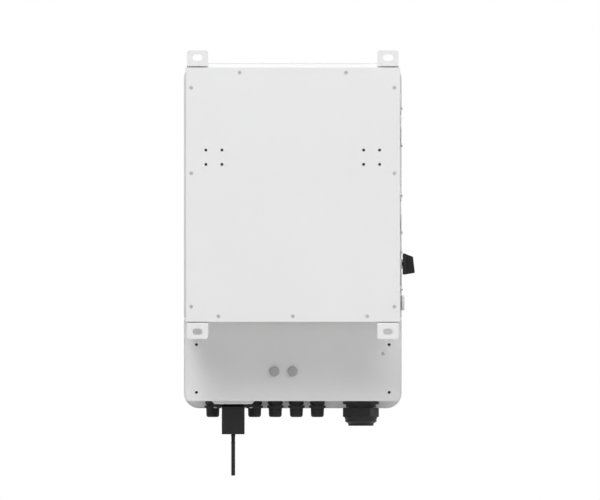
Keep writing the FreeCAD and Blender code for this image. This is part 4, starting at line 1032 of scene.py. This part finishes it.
def build_lamps():
    """Four indicator lamps with domed ends and a fine ring."""
    bm = bmesh.new()
    profile = [(0, 0, 0), (2.4, 0, 0.2), (2.4, 21.0, 0.5), (2.0, 21.3, 0.2), (1.5, 21.9, 0.9), (0, 22.0, 0)]
    for height in KEY_ROWS:
        place = Vector((-KEY_COLUMN, -214, height)) * MM
        add_turned(bm, rounded_path(profile, 6), place, FRONT_SIDE, 48)
    lamps = make_object("indicator_lamps", bm)
    stand_for(lamps, CASE, "lamp_lenses", materials["lamp_green"])


def build_stage():
    """Pale floor, well below the object's lowest point."""
    bm = bmesh.new()
    bmesh.ops.create_grid(bm, x_segments=24, y_segments=24, size=FLOOR_SIZE)
    bm.transform(Matrix.Translation((0, 0, FLOOR_LEVEL)))
    floor = make_object("floor", bm)
    shader = Shader("floor_paint")
    tone = shader.noise(2.5, 4)
    factor = shader.ramp(tone, 0.3, 0.7, 0, 1)
    shader.set("Base Color", shader.mix(factor, (0.60, 0.60, 0.595), (0.64, 0.64, 0.635)))
    shader.set("Roughness", shader.ramp(shader.noise(40, 4), 0.3, 0.7, 0.6, 0.75))
    floor.data.materials.append(shader.material)


def sight(azimuth, elevation):
    """Direction from the object to a viewer; azimuth 0 is in front, 90 on the +X side, 180 at the wall."""
    turn = math.radians(azimuth)
    rise = math.radians(elevation)
    return Vector((math.sin(turn) * math.cos(rise), -math.cos(turn) * math.cos(rise), math.sin(rise)))


def add_light(name, kind, azimuth, elevation, energy, distance=4.0, size=2.0):
    """Soft light in a direction from the object: a square panel (AREA) or parallel light (SUN)."""
    data = bpy.data.lights.new(name, kind)
    data.energy = energy
    if kind == "AREA":
        data.shape = "SQUARE"
        data.size = size
    else:
        data.angle = math.radians(30)
    light = bpy.data.objects.new(name, data)
    direction = sight(azimuth, elevation)
    light.location = LIGHT_TARGET + direction * distance
    light.rotation_mode = "QUATERNION"
    light.rotation_quaternion = direction.to_track_quat("Z", "Y")
    bpy.context.scene.collection.objects.link(light)


def build_surroundings():
    """White backdrop that lights the object softly, more from the horizon than from overhead."""
    world = bpy.data.worlds.new("surroundings")
    bpy.context.scene.world = world
    world.use_nodes = True
    tree = world.node_tree
    place = tree.nodes.new("ShaderNodeTexCoord")
    parts = tree.nodes.new("ShaderNodeSeparateXYZ")
    tree.links.new(place.outputs["Generated"], parts.inputs["Vector"])
    glow = tree.nodes.new("ShaderNodeMapRange")
    glow.inputs["From Min"].default_value = 0.15
    glow.inputs["From Max"].default_value = 0.25
    glow.inputs["To Min"].default_value = HORIZON_GLOW
    glow.inputs["To Max"].default_value = ZENITH_GLOW
    tree.links.new(parts.outputs["Z"], glow.inputs["Value"])
    path = tree.nodes.new("ShaderNodeLightPath")
    level = tree.nodes.new("ShaderNodeMix")
    level.inputs["B"].default_value = 1.0
    tree.links.new(path.outputs["Is Camera Ray"], level.inputs["Factor"])
    tree.links.new(glow.outputs["Result"], level.inputs["A"])
    background = tree.nodes["Background"]
    background.inputs["Color"].default_value = (1, 1, 1, 1)
    tree.links.new(level.outputs["Result"], background.inputs["Strength"])


def build_light():
    """Soft studio light: a high key behind the wall side, fills on both sides, and two front panels."""
    build_surroundings()
    add_light("key", "AREA", 140, 60, 370, 7.0, 3.5)
    add_light("back_fill", "SUN", 180, 65, 0.64)
    add_light("fill", "SUN", 215, 50, 0.71)
    add_light("side_fill", "AREA", 220, 20, 19)
    add_light("right_fill", "AREA", 262, 18, 32)
    add_light("front_key", "AREA", 330, 12, 70)
    add_light("front_fill", "AREA", 35, 15, 43)
    bpy.context.scene.view_settings.view_transform = "Standard"


def build_camera():
    """Square-on parallel view of the back."""
    data = bpy.data.cameras.new("camera")
    data.type = "ORTHO"
    data.ortho_scale = VIEW_WIDTH
    camera = bpy.data.objects.new("camera", data)
    camera.location = VIEW_CENTRE + WALL_SIDE * 5
    camera.rotation_euler = (math.radians(90), 0, math.radians(180))
    bpy.context.scene.collection.objects.link(camera)
    bpy.context.scene.camera = camera


build_camera()
dress_cad_nodes()
build_screws()
build_rivets()
build_vent_plugs()
build_guards()
build_small_glands()
build_large_gland()
build_logger()
build_antenna()
build_isolator()
build_button()
build_panel()
build_stage()
build_light()
